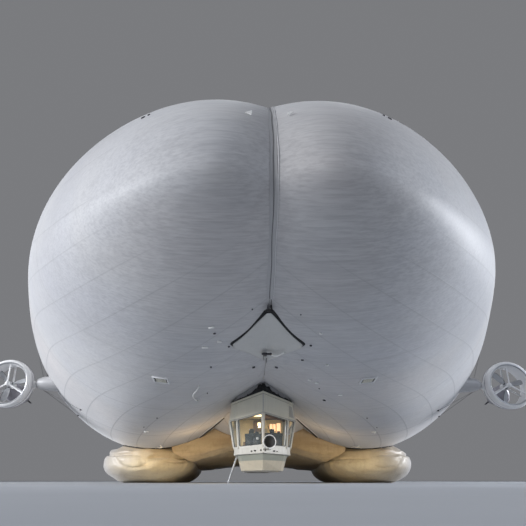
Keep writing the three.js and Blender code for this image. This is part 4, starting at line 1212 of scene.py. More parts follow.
def diamond_fitting():
    parts = []
    # black cross fitting low on the sheet, with side arms
    for x0, x1, t0, t1, h in ((-0.22, 0.20, 8.56, 8.66, 0.05), (-0.16, 0.0, 8.47, 8.80, 0.07), (0.10, 0.2, 8.50, 8.66, 0.06)):
        a, b = dpoint(x0, t0, -0.02), dpoint(x1, t1, h)
        parts.append(box_part(real(a), real(b), 0.0015))
    V, F = join(parts)
    new_object("diamond_fitting", V, F, MATS["darkmetal"], "hull", "dark_metal")
    # white strap that curves away to the right
    rings = []
    for k in range(17):
        u = k / 16
        x = 0.18 + 0.52 * u
        t = 8.62 - 0.42 * math.sin(PI * u * 0.62) * u
        p = dpoint(x, t, 0.05 + 0.08 * math.sin(PI * u))
        w = 0.075
        rings.append([real(p + Vector((0, -w, 0.012))), real(p + Vector((0, -w, -0.012))), real(p + Vector((0, w, -0.012))), real(p + Vector((0, w, 0.012)))])
    V, F = loft(rings)
    new_object("diamond_strap", V, F, MATS["strap"], "hull", "envelope")
    # two thin cords down the middle
    pieces = []
    for x0, t0, x1, t1 in ((-0.14, 8.75, -0.12, 9.62), (0.0, 9.3, 0.02, 10.6)):
        pts = []
        for k in range(10):
            u = k / 9
            t = t0 + (t1 - t0) * u
            if t < 9.85:
                q = dpoint(x0 + (x1 - x0) * u, t, 0.02)
            else:
                q = on_hull(0.03, t, 0.03)[0]
                q.x = x0 + (x1 - x0) * u
            pts.append(real(q))
        pieces.append(tube(pts, 0.0013, 6))
    V, F = join(pieces)
    new_object("diamond_cords", V, F, MATS["darkmetal"], "hull", "dark_metal")


diamond_fitting()


def skin_frame(x, t, upper=False):
    """Matrix whose Z is the skin's outward normal at (x, t), Y runs aft along the skin; model metres."""
    p, n = on_hull(x, t, 0.0, upper)
    aft = on_hull(x, t + 0.2, 0.0, upper)[0] - p
    aft = (aft - n * aft.dot(n)).normalized()
    side = aft.cross(n).normalized()
    m = Matrix((side, aft, n)).transposed().to_4x4()
    m.translation = real(p)
    return m


def hatch(name, x, t, w, h, frame_w=0.07):
    """Rectangular valve hatch: dark opening with a raised frame and a lid with louvres."""
    m = skin_frame(x, t)
    W, H, f = w * S / 2, h * S / 2, frame_w * S
    # open rim, closed body
    rings = []
    for a, b, z in ((W, H, -0.004), (W + f, H + f, -0.004), (W + f, H + f, 0.0035), (W + f * 0.7, H + f * 0.7, 0.0052), (W, H, 0.0048)):
        ring = []
        for cx, cy, q0 in ((1, 1, 0), (-1, 1, 90), (-1, -1, 180), (1, -1, 270)):
            for j in range(5):
                q = math.radians(q0 + j * 22.5)
                r = 0.0025
                ring.append(m @ Vector((cx * (a - r) + r * math.cos(q), cy * (b - r) + r * math.sin(q), z)))
        rings.append(ring)
    rings.append(rings[0])
    V, F = loft(rings, caps=False)
    new_object(name + "_frame", V, F, MATS["tape"], "hull", "envelope")
    # black slab under the louvres: painted shade of the hollow behind them
    parts = [turned(box_part((-W * 0.98, -H * 0.98, -0.003), (W * 0.98, H * 0.98, 0.0012), 0.0006), m)]
    V, F = join(parts)
    new_object(name + "_well_shade", V, F, MATS["gasket"], "hull", "dark_plastic")
    slats = []
    for j in range(5):
        y = -H * 0.78 + j * H * 0.39
        slats.append(turned(box_part((-W * 0.8, y - H * 0.10, 0.001), (W * 0.8, y + H * 0.12, 0.0028), 0.0005), m))
    V, F = join(slats)
    new_object(name + "_slats", V, F, MATS["fascia"], "hull", "white_composite")


hatch("valve_left", -4.87, 11.8, 0.62, 0.62)
hatch("valve_right", 4.82, 11.7, 0.62, 0.62)


def tab(name, x, t, s, pts):
    """Standing triangular load patch on the upper bow, its face to the front."""
    p, n = on_hull(x, t, 0.0, True)
    c = real(p)
    rings = []
    for y, k in ((0.0045, 1.0), (-0.0015, 1.0), (-0.003, 0.93)):
        ring = [c + Vector((px * k * 0.22, y * 0.5 + 0.05 * pz, pz * k * 0.22 + 0.011)) for px, pz in pts]
        rings.append(ring if s < 0 else ring[::-1])
    V, F = loft(rings)
    new_object(name, V, F, MATS["bright"], "hull", "envelope", angle=30)


MATS["bright"] = painted("patch_white", (0.92, 0.92, 0.90), 0.35, dirt=0.05, scale=2)
tab("bow_tab_left", -0.77, 1.22, -1, [(-0.060, 0.004), (-0.020, -0.018), (0.030, -0.050), (0.044, 0.000), (0.040, 0.050), (-0.010, 0.022)])
tab("bow_tab_right", 0.6, 1.32, 1, [(-0.040, -0.046), (-0.012, -0.040), (0.004, -0.012), (0.056, 0.018), (0.050, 0.036), (0.002, 0.034), (-0.034, 0.020)])


def puck(x, t, r, h, upper=False, sides=16):
    """Round fitting with a domed cap, as a closed part on the skin."""
    m = skin_frame(x, t, upper)
    prof = ((r, -0.004), (r, h * 0.45), (r * 0.82, h * 0.6), (r * 0.5, h * 0.62), (r * 0.42, h), (r * 0.1, h * 1.05))
    rings = [[m @ Vector((a * math.cos(2 * PI * j / sides), a * math.sin(2 * PI * j / sides), z)) for j in range(sides)] for a, z in prof]
    return loft(rings)


def plate(x, t, w, l, h, rot=0.0, upper=False):
    m = skin_frame(x, t, upper) @ Matrix.Rotation(math.radians(rot), 4, "Z")
    return turned(box_part((-w * S / 2, -l * S / 2, -0.003), (w * S / 2, l * S / 2, h * S), min(0.0008, h * S * 0.4)), m)


# small dark fittings and white patches that the lower bow carries
dark_bits = [
    puck(-0.62, 5.15, 0.0028, 0.004), plate(-2.05, 6.55, 0.10, 0.06, 0.04, 20), plate(-1.55, 7.72, 0.08, 0.06, 0.04), plate(1.72, 7.55, 0.09, 0.06, 0.04),
    plate(1.52, 9.1, 0.11, 0.06, 0.04, 15), plate(-2.4, 9.77, 0.07, 0.08, 0.04), plate(-0.55, 10.85, 0.13, 0.09, 0.05), plate(0.5, 10.9, 0.13, 0.09, 0.05, -10),
    puck(-6.58, 21.22, 0.004, 0.005), puck(6.64, 21.09, 0.004, 0.005), puck(2.7, 13.2, 0.003, 0.005), puck(-2.9, 14.3, 0.003, 0.005),
    puck(-8.0, 24.5, 0.004, 0.005), puck(8.0, 24.5, 0.004, 0.005), plate(3.3, 16.0, 0.12, 0.14, 0.05, 30), puck(1.15, 5.35, 0.0028, 0.003),
]
V, F = join(dark_bits)
new_object("bow_fittings_dark", V, F, MATS["darkmetal"], "hull", "dark_metal")
light_bits = [
    plate(-2.5, 7.65, 0.24, 0.07, 0.05), plate(-2.15, 6.1, 0.22, 0.06, 0.05, 15), plate(-1.9, 7.2, 0.18, 0.05, 0.05, -10),
    plate(2.1, 11.8, 0.16, 0.10, 0.05), plate(2.45, 12.1, 0.16, 0.10, 0.05), plate(3.9, 14.2, 0.2, 0.12, 0.05), plate(-8.1, 26.0, 0.34, 0.10, 0.05), plate(8.1, 26.0, 0.34, 0.10, 0.05),
    plate(-8.25, 26.35, 0.08, 0.2, 0.05), plate(8.25, 26.35, 0.08, 0.2, 0.05), plate(2.6, 9.4, 0.12, 0.07, 0.05), plate(2.0, 6.5, 0.12, 0.05, 0.05, -20),
]
V, F = join(light_bits)
new_object("bow_fittings_light", V, F, MATS["bright"], "hull", "envelope")
marks = [plate(-4.85, 3.47, 0.16, 0.07, 0.04, 30, True), plate(4.51, 3.07, 0.16, 0.07, 0.04, -30, True), plate(-4.62, 3.4, 0.10, 0.04, 0.04, 30, True), plate(4.3, 3.1, 0.10, 0.04, 0.04, -30, True)]
V, F = join(marks)
new_object("bow_fittings_top", V, F, MATS["darkmetal"], "hull", "dark_metal")


def handle(name, x0, t0, x1, t1, r=0.0028, stand=0.12, mat="tape", bend=0.3):
    """C-shaped grab line that stands off the skin between its two ends."""
    a, na = on_hull(x0, t0)
    b, nb = on_hull(x1, t1)
    n = (na + nb).normalized()
    side = (b - a).cross(n).normalized()
    pts = []
    for k in range(21):
        u = k / 20
        bow = min(1.0, math.sin(PI * clamp(u)) * 2.2)
        p = a.lerp(b, u) + n * (stand * bow) + side * (bend * math.sin(PI * u))
        q, m = on_hull(p.x, p.y)
        p.z = min(p.z, q.z)
        pts.append(real(p))
    V, F = tube(pts, r, 10)
    return new_object(name, V, F, MATS[mat], "hull", "envelope")


handle("grab_line_left", -3.17, 12.59, -3.47, 15.97, r=0.0034, bend=0.30, mat="bright")
handle("belly_handle_left", -8.75, 34.6, -8.3, 33.4, 0.0042, 0.10, bend=0.35, mat="bright")
handle("belly_handle_right", 8.0, 34.6, 8.45, 33.4, 0.0042, 0.10, bend=-0.25, mat="bright")

# dark line on the belly on the left and its twin on the right: a dark strip with a pale rail above it
for s, side in ((-1, "left"), (1, "right")):
    stops = [(s * 5.75, 38.0), (s * 4.6, 34.2), (s * 3.5, 31.4), (s * 2.75, 29.4)]
    V, F = ribbon(stops, 0.34 if s < 0 else 0.12, 0.10, steps=10)
    new_object(f"belly_dark_line_{side}", *scaled((V, F)), MATS["gasket"], "hull", "dark_plastic")
    stops = [(x, t - 0.62) for x, t in stops]
    V, F = ribbon(stops, 0.09, 0.05, steps=10)
    new_object(f"belly_rail_{side}", *scaled((V, F)), MATS["tape"], "hull", "envelope")

# ------------------------------------------------------------------ flight deck
LEVELS = {
    "bottom": (0.69, 1.22, 1.05, 17.6, 19.1, 19.8, 0.69), "chin": (1.18, 1.36, 1.15, 17.15, 18.95, 19.7, 1.18),
    "step": (1.52, 1.46, 1.24, 16.9, 18.85, 19.62, 1.52), "band": (1.56, 1.63, 1.36, 16.7, 18.75, 19.6, 1.56),
    "sill": (1.86, 1.65, 1.37, 16.68, 18.75, 19.6, 1.86), "head": (3.45, 1.97, 1.5, 16.5, 18.7, 19.6, 3.6),
    "eave": (4.42, 1.83, 1.5, 16.6, 18.8, 19.7, 4.66),
}
REAR_T = 25.2


def cab_level(name, i=0.0):
    z, outer, front, prow_t, front_t, outer_t, prow_z = LEVELS[name]
    return [Vector(v) for v in (
        (-outer + i, REAR_T - i, z), (-outer + i, outer_t + i * 0.2, z), (-front + i * 0.7, front_t + i * 0.7, z),
        (0, prow_t + i * 1.2, prow_z),
        (front - i * 0.7, front_t + i * 0.7, z), (outer - i, outer_t + i * 0.2, z), (outer - i, REAR_T - i, z))]


def between(a, b, k):
    return [p.lerp(q, k) for p, q in zip(a, b)]


def window_quads():
    a, b = between(cab_level("sill"), cab_level("head"), 0.08), between(cab_level("sill"), cab_level("head"), 0.97)
    quads = {}
    for s in (-1, 1):
        side = "left" if s < 0 else "right"
        at = lambda k: 3 - k if s < 0 else 3 + k
        for kind, i0, i1, k0, k1 in (("windshield", 0, 1, 0.05, 0.95), ("quarter_window", 1, 2, 0.16, 0.84), ("side_window", 2, 3, 0.38 if s < 0 else 0.05, 0.9)):
            quads[f"{kind}_{side}"] = [a[at(i0)].lerp(a[at(i1)], k0), a[at(i0)].lerp(a[at(i1)], k1), b[at(i0)].lerp(b[at(i1)], k1), b[at(i0)].lerp(b[at(i1)], k0)]
    return quads


QUADS = window_quads()


def out_of(quad):
    n = (quad[1] - quad[0]).cross(quad[3] - quad[0]).normalized()
    mid = sum(quad, Vector((0, 0, 0))) / 4
    return n if n.dot(mid - Vector((0, 22, 2.6))) > 0 else -n


def frame_strip(quad, width, proud, back, corner=0.10):
    """Closed frame round a window opening with rounded corners, real metres."""
    n = out_of(quad)
    mid = sum(quad, Vector((0, 0, 0))) / 4

    def outline(grow, off):
        pts = []
        for i in range(4):
            p, prv, nxt = quad[i], quad[i - 1], quad[(i + 1) % 4]
            d0, d1 = (prv - p).normalized(), (nxt - p).normalized()
            g = -(d0 + d1).normalized() * grow * 1.3
            for j in range(5):
                k = j / 4
                c = p + d0 * corner * (1 - k) ** 2 + d1 * corner * k ** 2
                pts.append(c + g + n * off)
        return pts

    rings = [outline(-0.01, -back), outline(width, -back), outline(width, proud * 0.6), outline(width * 0.8, proud), outline(0.0, proud), outline(-0.01, proud * 0.5)]
    rings.append(rings[0])
    return loft(rings, caps=False)


for name, quad in QUADS.items():
    V, F = frame_strip(quad, 0.022, 0.012, 0.03)
    new_object(f"{name}_seal", *scaled((V, F)), MATS["gasket"], "hull", "dark_plastic")


def bar_between(a, b, n, width, proud, back=0.02, taper=1.0):
    """Flat moulding between two points of the cab's skin; n is outward."""
    d = (b - a).normalized()
    side = d.cross(n).normalized()
    rings = []
    for p, k in ((a, 1.0), (a.lerp(b, 0.04), 1.0), (b.lerp(a, 0.04), taper), (b, taper)):
        w = width / 2 * k
        rings.append([p - side * w - n * back, p - side * w + n * proud * 0.4, p - side * w * 0.6 + n * proud, p + side * w * 0.6 + n * proud, p + side * w + n * proud * 0.4, p + side * w - n * back])
    return loft(rings)


# bright mouldings on the posts and along the sill, band and eaves
trim = []
for s in (-1, 1):
    sill, head, eave, band, step = (cab_level(k) for k in ("sill", "head", "eave", "band", "step"))
    i_out, i_front = (1, 2) if s < 0 else (5, 4)
    nq = Vector((s * 0.72, -0.69, 0.0)).normalized()
    trim.append(bar_between(sill[i_out].lerp(head[i_out], 0.01), head[i_out], Vector((s * 0.9, -0.4, 0)).normalized(), 0.10, 0.045))
    trim.append(bar_between(sill[i_front].lerp(head[i_front], 0.01), head[i_front], nq, 0.13, 0.05))
    for lv, w in (("head", 0.07), ("band", 0.06)):
        ring = cab_level(lv)
        order = [0, 1, 2, 3] if s < 0 else [6, 5, 4, 3]
        for a, b in zip(order, order[1:]):
            mid = (ring[a] + ring[b]) / 2
            d = ring[b] - ring[a]
            n = Vector((d.y, -d.x, 0)).normalized()
            if n.dot(mid - Vector((0, 22, mid.z))) < 0:
                n = -n
            trim.append(bar_between(ring[a], ring[b], n, w, 0.03))
pz0, pz1 = cab_level("sill")[3], cab_level("head")[3]
trim.append(bar_between(pz0, pz1, Vector((0, -1, 0)), 0.11, 0.05, taper=2.0))
V, F = join([scaled(t) for t in trim])
new_object("flight_deck_mouldings", V, F, MATS["white"], "hull", "white_composite")

# fascia: thin painted panels over the wall between the window heads and the eaves
def fascia():
    parts = []
    a, b = between(cab_level("head"), cab_level("eave"), 0.06), between(cab_level("head"), cab_level("eave"), 0.97)
    for i0, i1 in ((0, 1), (1, 2), (2, 3), (3, 4), (4, 5), (5, 6)):
        q = [a[i0], a[i1], b[i1], b[i0]]
        k0, k1 = (0.008, 0.992)
        q = [a[i0].lerp(a[i1], k0), a[i0].lerp(a[i1], k1), b[i0].lerp(b[i1], k1), b[i0].lerp(b[i1], k0)]
        n = out_of(q)
        rings = []
        for off, shrink in ((0.0, 0.0), (0.012, 0.0), (0.018, 0.006)):
            mid = sum(q, Vector((0, 0, 0))) / 4
            rings.append([p.lerp(mid, shrink) + n * off for p in q])
        parts.append(loft(rings))
    V, F = join([scaled(t) for t in parts])
    new_object("flight_deck_fascia", V, F, MATS["fascia"], "hull", "white_composite", angle=30)


fascia()

# roof: gutter and panel joints; fascia joints
lines = []
over = [v + Vector((0, 0, 0.06)) for v in cab_level("eave", -0.07)]
for a, b in zip(over, over[1:]):
    lines.append(tube([real(a), real(a.lerp(b, 0.5)), real(b)], 0.0030, 8))
V, F = join(lines)
new_object("flight_deck_gutter", V, F, MATS["fascia"], "hull", "white_composite")
joints = []
for s in (-1, 1):
    e, h = cab_level("eave"), cab_level("head")
    i0, i1 = (3, 2) if s < 0 else (3, 4)
    d = e[i1] - e[i0]
    n = Vector((d.y, -d.x, 0)).normalized()
    if n.y > 0:
        n = -n
    for k in (0.0, 0.5):
        joints.append(bar_between(h[i0].lerp(h[i1], k) + Vector((0, 0, 0.05)), e[i0].lerp(e[i1], k) - Vector((0, 0, 0.03)), n, 0.022, 0.006))
    i0, i1 = (1, 0) if s < 0 else (5, 6)
    for k in (0.05, 0.38, 0.66, 0.92):
        joints.append(bar_between(h[i0].lerp(h[i1], k) + Vector((0, 0, 0.05)), e[i0].lerp(e[i1], k) - Vector((0, 0, 0.03)), Vector((s, 0, 0)), 0.022, 0.006))
V, F = join([scaled(t) for t in joints])
new_object("flight_deck_joints", V, F, MATS["skirt"], "hull", "white_composite")

# black ragged gasket between roof and envelope, partly painted contact shadow where the lobes meet the roof, and the
# cavity over the prow, filled dark as painted shade
def roof_fringe():
    parts = []
    e = [v + Vector((0, 0, 0.13)) for v in cab_level("eave", 0.12)]
    for seg, (a, b) in enumerate(zip(e, e[1:])):
        steps = 30
        rings = []
        for i in range(steps + 1):
            k = i / steps
            p = a.lerp(b, k)
            d = (b - a).normalized()
            n = Vector((d.y, -d.x, 0)).normalized()
            if n.dot(p - Vector((0, 22, p.z))) < 0:
                n = -n
            ragged = 0.07 + 0.07 * abs(noise.noise(Vector((p.x * 7, p.y * 7, 3)))) * 2 + 0.10 * max(0, noise.noise(Vector((p.x * 2.3, p.y * 2.3, 8))))
            near = math.exp(-((p.x) / 0.55) ** 2) if seg in (2, 3) else 0
            h = ragged + 0.30 * near * (1 + 0.25 * math.sin(p.x * 23))
            rings.append([p - n * 0.10 - Vector((0, 0, 0.03)), p + n * 0.10 - Vector((0, 0, 0.03)), p + n * 0.12 + Vector((0, 0, h * 0.55)), p + n * 0.03 + Vector((0, 0, h)), p - n * 0.08 + Vector((0, 0, h))])
        parts.append(loft(rings))
    V, F = join([scaled(t) for t in parts])
    new_object("flight_deck_fringe_shadow", V, F, MATS["gasket"], "hull", "dark_plastic")
    # cavity: painted shade of the hollow between the lobes above the prow, as torn dark flaps over the prow that reach
    # back up into the crease
    parts = []
    for i in range(96):
        u = i / 95 * 2 - 1
        x = 0.92 * u
        near = math.exp(-(x / 0.46) ** 4)
        h = 0.15 + 0.46 * near * (0.55 + 0.45 * abs(math.sin(i * 2.4))) + 0.22 * abs(noise.noise(Vector((i * 0.7, 2, 3))))
        t = 16.72 + abs(x) * 1.45 - 0.05 + 0.12 * abs(noise.noise(Vector((i * 1.3, 8, 1))))
        z0 = 4.74 - abs(x) * 0.155
        w = 0.016 + 0.016 * abs(noise.noise(Vector((i * 0.9, 5, 5))))
        lean = 0.04 * noise.noise(Vector((i * 1.7, 1, 9)))
        rings = []
        for k, ww in ((0.0, 1.0), (0.5, 1.05), (0.82, 0.7), (1.0, 0.18)):
            c = Vector((x + lean * k, t + 0.30 * k * near, z0 + h * k))
            rings.append([c + Vector((-w * ww, -0.03 * ww, 0)), c + Vector((w * ww, -0.03 * ww, 0)), c + Vector((w * ww, 0.09 * ww, 0)), c + Vector((-w * ww, 0.09 * ww, 0))])
        parts.append(loft(rings))
    rings = []
    for t, w, z0, h in ((17.05, 0.22, 4.76, 0.20), (17.3, 0.32, 4.76, 0.28), (17.7, 0.40, 4.74, 0.4)):
        ring = []
        for i in range(20):
            q = 2 * PI * i / 20
            rag = 1 + 0.14 * noise.noise(Vector((math.cos(q) * 3, math.sin(q) * 3, t * 4)))
            ring.append(Vector((w * math.cos(q) * rag, t, z0 + h / 2 + h / 2 * math.copysign(abs(math.sin(q)) ** 0.7, math.sin(q)) * rag)))
        rings.append(ring)
    parts.append(loft(rings))
    V, F = join([scaled(t) for t in parts])
    new_object("flight_deck_cavity_shade", V, F, MATS["gasket"], "hull", "dark_plastic")


roof_fringe()

# cabin inside: lining, ceilings, bulkhead with cabinet and lit openings, lamp, panels on the console
def cab_inside():
    def slab(name, pts, thick, mat, slot, n=None):
        n = n or (pts[1] - pts[0]).cross(pts[2] - pts[0]).normalized()
        V, F = loft([pts, [p + n * thick for p in pts]])
        return new_object(name, *scaled((V, F)), MATS[mat], "hull", slot)

    s0, h0 = cab_level("sill", 0.16), cab_level("head", 0.16)
    e0 = cab_level("eave", 0.2)
    zc = 4.1
    lid = [Vector((p.x, p.y, zc)) for p in e0]
    slab("cabin_ceiling_left", [lid[0], lid[1], lid[2], lid[3], Vector((0, 25.0, zc))], 0.05, "lining", "cab_panel", Vector((0, 0, 1)))
    slab("cabin_ceiling_right", [Vector((0.01, 25.0, zc)), Vector((0.01, lid[3].y, zc)), lid[4], lid[5], lid[6]], 0.05, "redbrown", "dark_plastic", Vector((0, 0, 1)))
    # sloping dark hood over the right seat
    slab("cabin_hood_right", [Vector((0.06, 17.3, 3.62)), Vector((1.28, 18.9, 3.36)), Vector((1.5, 21.4, 3.62)), Vector((0.06, 21.4, 3.95))], 0.05, "redbrown", "dark_plastic", Vector((0, 0, 1)))
    b = 24.85
    # bulkhead with a doorway in the middle
    parts = []
    for x0, x1, z0, z1 in ((-1.5, -0.42, 1.9, 4.08), (0.42, 1.5, 1.9, 4.08), (-0.42, 0.42, 3.5, 4.08)):
        parts.append(box_part(real((x0, b, z0)), real((x1, b + 0.06, z1)), 0.001))
    for x0, x1, z0, z1 in ((-1.3, -0.55, 2.1, 2.9), (0.55, 1.3, 2.1, 2.9)):
        parts.append(box_part(real((x0, b - 0.05, z0)), real((x1, b + 0.01, z1)), 0.0015))
    V, F = join(parts)
    new_object("cabin_bulkhead", V, F, MATS["lining"], "hull", "cab_panel")
    parts = [box_part(real((-0.52, b - 0.34, 3.28)), real((0.03, b - 0.01, 4.0)), 0.002), box_part(real((-1.2, b - 0.3, 1.9)), real((-0.6, b - 0.01, 2.6)), 0.002)]
    V, F = join(parts)
    new_object("cabin_cabinet", V, F, MATS["brown"], "hull", "dark_plastic")
    lamp = emission_mat("cabin_light_warm", (1.0, 0.82, 0.45), 3.2)
    parts = [box_part(real((-0.8, 21.9, 4.0)), real((0.02, 22.05, 4.09)), 0.001), box_part(real((-0.22, b - 0.36, 3.52)), real((-0.02, b - 0.34, 3.86)), 0.0006)]
    V, F = join(parts)
    new_object("cabin_lamp", V, F, lamp, "hull", "glass")
    lamp2 = emission_mat("cabin_light_amber", (1.0, 0.62, 0.34), 1.2)
    parts = []
    for x0, x1, z0, z1 in ((0.62, 0.80, 3.3, 3.8), (0.86, 1.02, 3.34, 3.8), (1.1, 1.36, 3.2, 3.86)):
        parts.append(box_part(real((x0, b - 0.02, z0)), real((x1, b - 0.004, z1)), 0.0004))
    V, F = join(parts)
    new_object("cabin_lit_openings", V, F, lamp2, "hull", "glass")
    # console: glareshield hoods, screens and levers
    parts = []
    for x0, x1, h in ((-1.02, -0.05, 2.63), (0.15, 1.18, 2.67)):
        ring = []
        for t, z in ((18.78, h - 0.12), (18.8, h), (18.9, h + 0.06), (19.4, h + 0.04), (19.42, h - 0.02), (18.92, h - 0.02), (18.86, h - 0.12)):
            ring.append((t, z))
        parts.append(loft([[real((x, t, z)) for t, z in ring] for x in (x0, x0 + 0.03, x1 - 0.03, x1)]))
    for x, z in ((-0.70, 2.82), (-0.30, 2.76), (0.56, 2.86), (0.95, 2.79)):
        parts.append(box_part(real((x - 0.09, 19.0, z - 0.14)), real((x + 0.09, 19.08, z + 0.05)), 0.001))
    # side cheeks that close the console's ends under the hoods
    for x0, x1, z0 in ((-0.22, -0.07, 2.12), (0.17, 0.32, 2.12), (1.03, 1.16, 1.865)):
        parts.append(box_part(real((x0, 18.82, z0)), real((x1, 19.38, 2.60)), 0.0012))
    V, F = join(parts)
    new_object("console_hoods", V, F, MATS["coal"], "hull", "dark_plastic")
    parts = []
    for x0, x1 in ((-0.95, -0.62), (-0.56, -0.25), (0.34, 0.66), (0.72, 1.0)):
        parts.append(box_part(real((x0, 18.835, 2.05)), real((x1, 18.848, 2.45)), 0.0004))
    V, F = join(parts)
    new_object("console_panels", V, F, MATS["darkmetal"], "hull", "dark_metal")
    knob = []
    for x, t, z, r in ((-0.28, 18.76, 2.42, 0.082), (-0.75, 19.0, 2.93, 0.035), (0.62, 19.0, 2.95, 0.035)):
        c = real((x, t, z))
        rings = []
        for i in range(9):
            a = PI * i / 8
            rr = r * S * math.sin(a) + 0.00005
            rings.append([c + Vector((rr * math.cos(2 * PI * j / 16), r * S * math.cos(a), rr * math.sin(2 * PI * j / 16))) for j in range(16)])
        knob.append(loft(rings))
    V, F = join(knob)
    new_object("console_knobs", V, F, MATS["tape"], "hull", "white_composite")
    # stub bars under the console knobs so that each stands on something
    parts = [tube([real((-0.28, 18.78, 2.42)), real((-0.28, 18.9, 2.4))], 0.0020, 8), tube([real((-0.75, 19.0, 2.93)), real((-0.75, 19.02, 2.66))], 0.0012, 8), tube([real((0.62, 19.0, 2.95)), real((0.62, 19.02, 2.68))], 0.0012, 8)]
    V, F = join(parts)
    new_object("console_stalks", V, F, MATS["darkmetal"], "hull", "dark_metal")


cab_inside()

# seats: cushions and headrest over the frame's plain seat
for s, side in ((-1, "left"), (1, "right")):
    x = s * 0.62
    F0 = 1.863
    rings = []
    for z, g in ((F0, 0.06), (F0 + 0.06, 0.0), (F0 + 0.34, 0.0), (F0 + 0.44, 0.03), (F0 + 0.49, 0.09)):
        ring = []
        for i in range(28):
            q = 2 * PI * i / 28
            cx, cy = math.cos(q), math.sin(q)
            ring.append(Vector((x + (0.25 - g) * math.copysign(abs(cx) ** 0.5, cx), 20.25 + (0.24 - g) * math.copysign(abs(cy) ** 0.5, cy), z)))
        rings.append(ring)
    parts = [loft(rings)]
    rings = []
    for z, w, g in ((F0 + 0.3, 0.24, 0.03), (F0 + 0.4, 0.25, 0.0), (F0 + 0.9, 0.23, 0.0), (F0 + 0.98, 0.18, 0.01), (F0 + 1.02, 0.13, 0.02), (F0 + 1.2, 0.14, 0.0), (F0 + 1.24, 0.10, 0.03)):
        ring = []
        for i in range(28):
            q = 2 * PI * i / 28
            cx, cy = math.cos(q), math.sin(q)
            ring.append(Vector((x + w * math.copysign(abs(cx) ** 0.55, cx), 20.565 + (0.07 - g * 0.6) * math.copysign(abs(cy) ** 0.6, cy), z)))
        rings.append(ring)
    parts.append(loft(rings))
    V, F = join([scaled(t) for t in parts])
    o = new_object(f"seat_cushion_{side}", V, F, MATS["seat"], "hull", "seat")
    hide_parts(f"pilot_seat_{side}")

# nose lamp: black dish with a white hoop on a bracket over the sill, right of the pillar
def nose_lamp():
    c = Vector((0.335, 16.50, 2.085))
    prof = ((0.03, 0.10), (0.235, 0.10), (0.285, 0.05), (0.29, -0.03), (0.275, -0.045), (0.25, -0.03), (0.14, 0.045), (0.03, 0.06))
    rings = [[Vector((c.x + r * math.cos(2 * PI * j / 40), c.y + a, c.z + r * math.sin(2 * PI * j / 40))) for j in range(40)] for r, a in prof]
    V, F = loft(rings)
    new_object("nose_lamp_dish", *scaled((V, F)), MATS["gasket"], "hull", "dark_plastic")
    pts = []
    for k in range(33):
        a = math.radians(200 - 290 * k / 32)
        pts.append(real(c + Vector((0.335 * math.cos(a), -0.02, 0.345 * math.sin(a)))))
    parts = [tube(pts, 0.0024, 10)]
    parts.append(tube([real(c + Vector((0.0, 0.06, -0.2))), real(Vector((0.34, 16.75, 1.80))), real(Vector((0.34, 17.22, 1.74)))], 0.003, 10))
    parts.append(tube([pts[-1], real(Vector((0.42, 16.85, 1.76))), real(Vector((0.44, 17.38, 1.74)))], 0.0022, 8))
    parts.append(tube([pts[0], real(Vector((0.12, 16.66, 1.80))), real(Vector((0.16, 16.96, 1.74)))], 0.0022, 8))
    V, F = join(parts)
    new_object("nose_lamp_hoop", V, F, MATS["tape"], "hull", "white_composite")
    # latches and probes along the sill under the windshields
    parts = []
    for x, w, h in ((-0.62, 0.10, 0.06), (-0.42, 0.14, 0.07), (-0.12, 0.07, 0.09), (0.13, 0.06, 0.06), (0.62, 0.12, 0.07), (0.8, 0.06, 0.05)):
        t = 16.68 + abs(x) * 1.511
        parts.append(box_part(real((x - w / 2, t - 0.06, 1.64)), real((x + w / 2, t + 0.05, 1.64 + h)), 0.0012))
    V, F = join(parts)
    new_object("sill_probes", V, F, MATS["gasket"], "hull", "dark_plastic")


nose_lamp()

# wipers, side handrails, vent louvres on the chin
parts = []
for s in (-1, 1):
    q = QUADS["windshield_left" if s < 0 else "windshield_right"]
    n = out_of(q)
    base = q[0].lerp(q[1], 0.45) - (q[3] - q[0]).normalized() * 0.05 + n * 0.05
    tip = q[0].lerp(q[1], 0.12).lerp(q[3].lerp(q[2], 0.12), 0.62) + n * 0.045
    parts.append(tube([real(base), real(base.lerp(tip, 0.5) + n * 0.03), real(tip)], 0.0014, 8))
    parts.append(tube([real(base.lerp(tip, 0.55) + n * 0.0), real(tip)], 0.0018, 6))
V, F = join(parts)
new_object("wipers", V, F, MATS["darkmetal"], "hull", "dark_metal")
parts = []
for s in (-1, 1):
    for t0, t1 in ((21.7, 22.5), (23.0, 24.6)):
        x = s * 1.66
        pts = [(x, t0, 1.72), (x + s * 0.07, t0 + 0.06, 1.72), (x + s * 0.07, t1 - 0.06, 1.72), (x, t1, 1.72)]
        parts.append(tube([real(v) for v in pts], 0.0022, 8))
V, F = join(parts)
new_object("flight_deck_handrails", V, F, MATS["alu"], "hull", "ladder_metal")
parts = []
for s in (-1, 1):
    for i in range(5):
        z = 0.86 + 0.055 * i
        x = s * (1.22 + (z - 0.69) / 0.49 * 0.14 + 0.006)
        parts.append(box_part(real((x - 0.02, 22.6, z)), real((x + 0.025, 23.6, z + 0.03)), 0.0008))
    # side hatch outline
    for a, b in (((20.6, 0.8), (22.0, 0.8)), ((22.0, 0.8), (22.0, 1.4)), ((22.0, 1.4), (20.6, 1.4)), ((20.6, 1.4), (20.6, 0.8))):
        pts = []
        for t, z in (a, b):
            x = s * (1.22 + (z - 0.69) / 0.49 * 0.14) if z < 1.18 else s * (1.36 + (z - 1.18) / 0.34 * 0.10)
            pts.append(real((x + s * 0.004, t, z)))
        parts.append(tube(pts, 0.0009, 6))
V, F = join(parts)
new_object("flight_deck_louvres", V, F, MATS["skirt"], "hull", "cab_panel")

# door: window, handle and hinges, on the door's own body
q0, q1 = cab_level("sill"), cab_level("head")


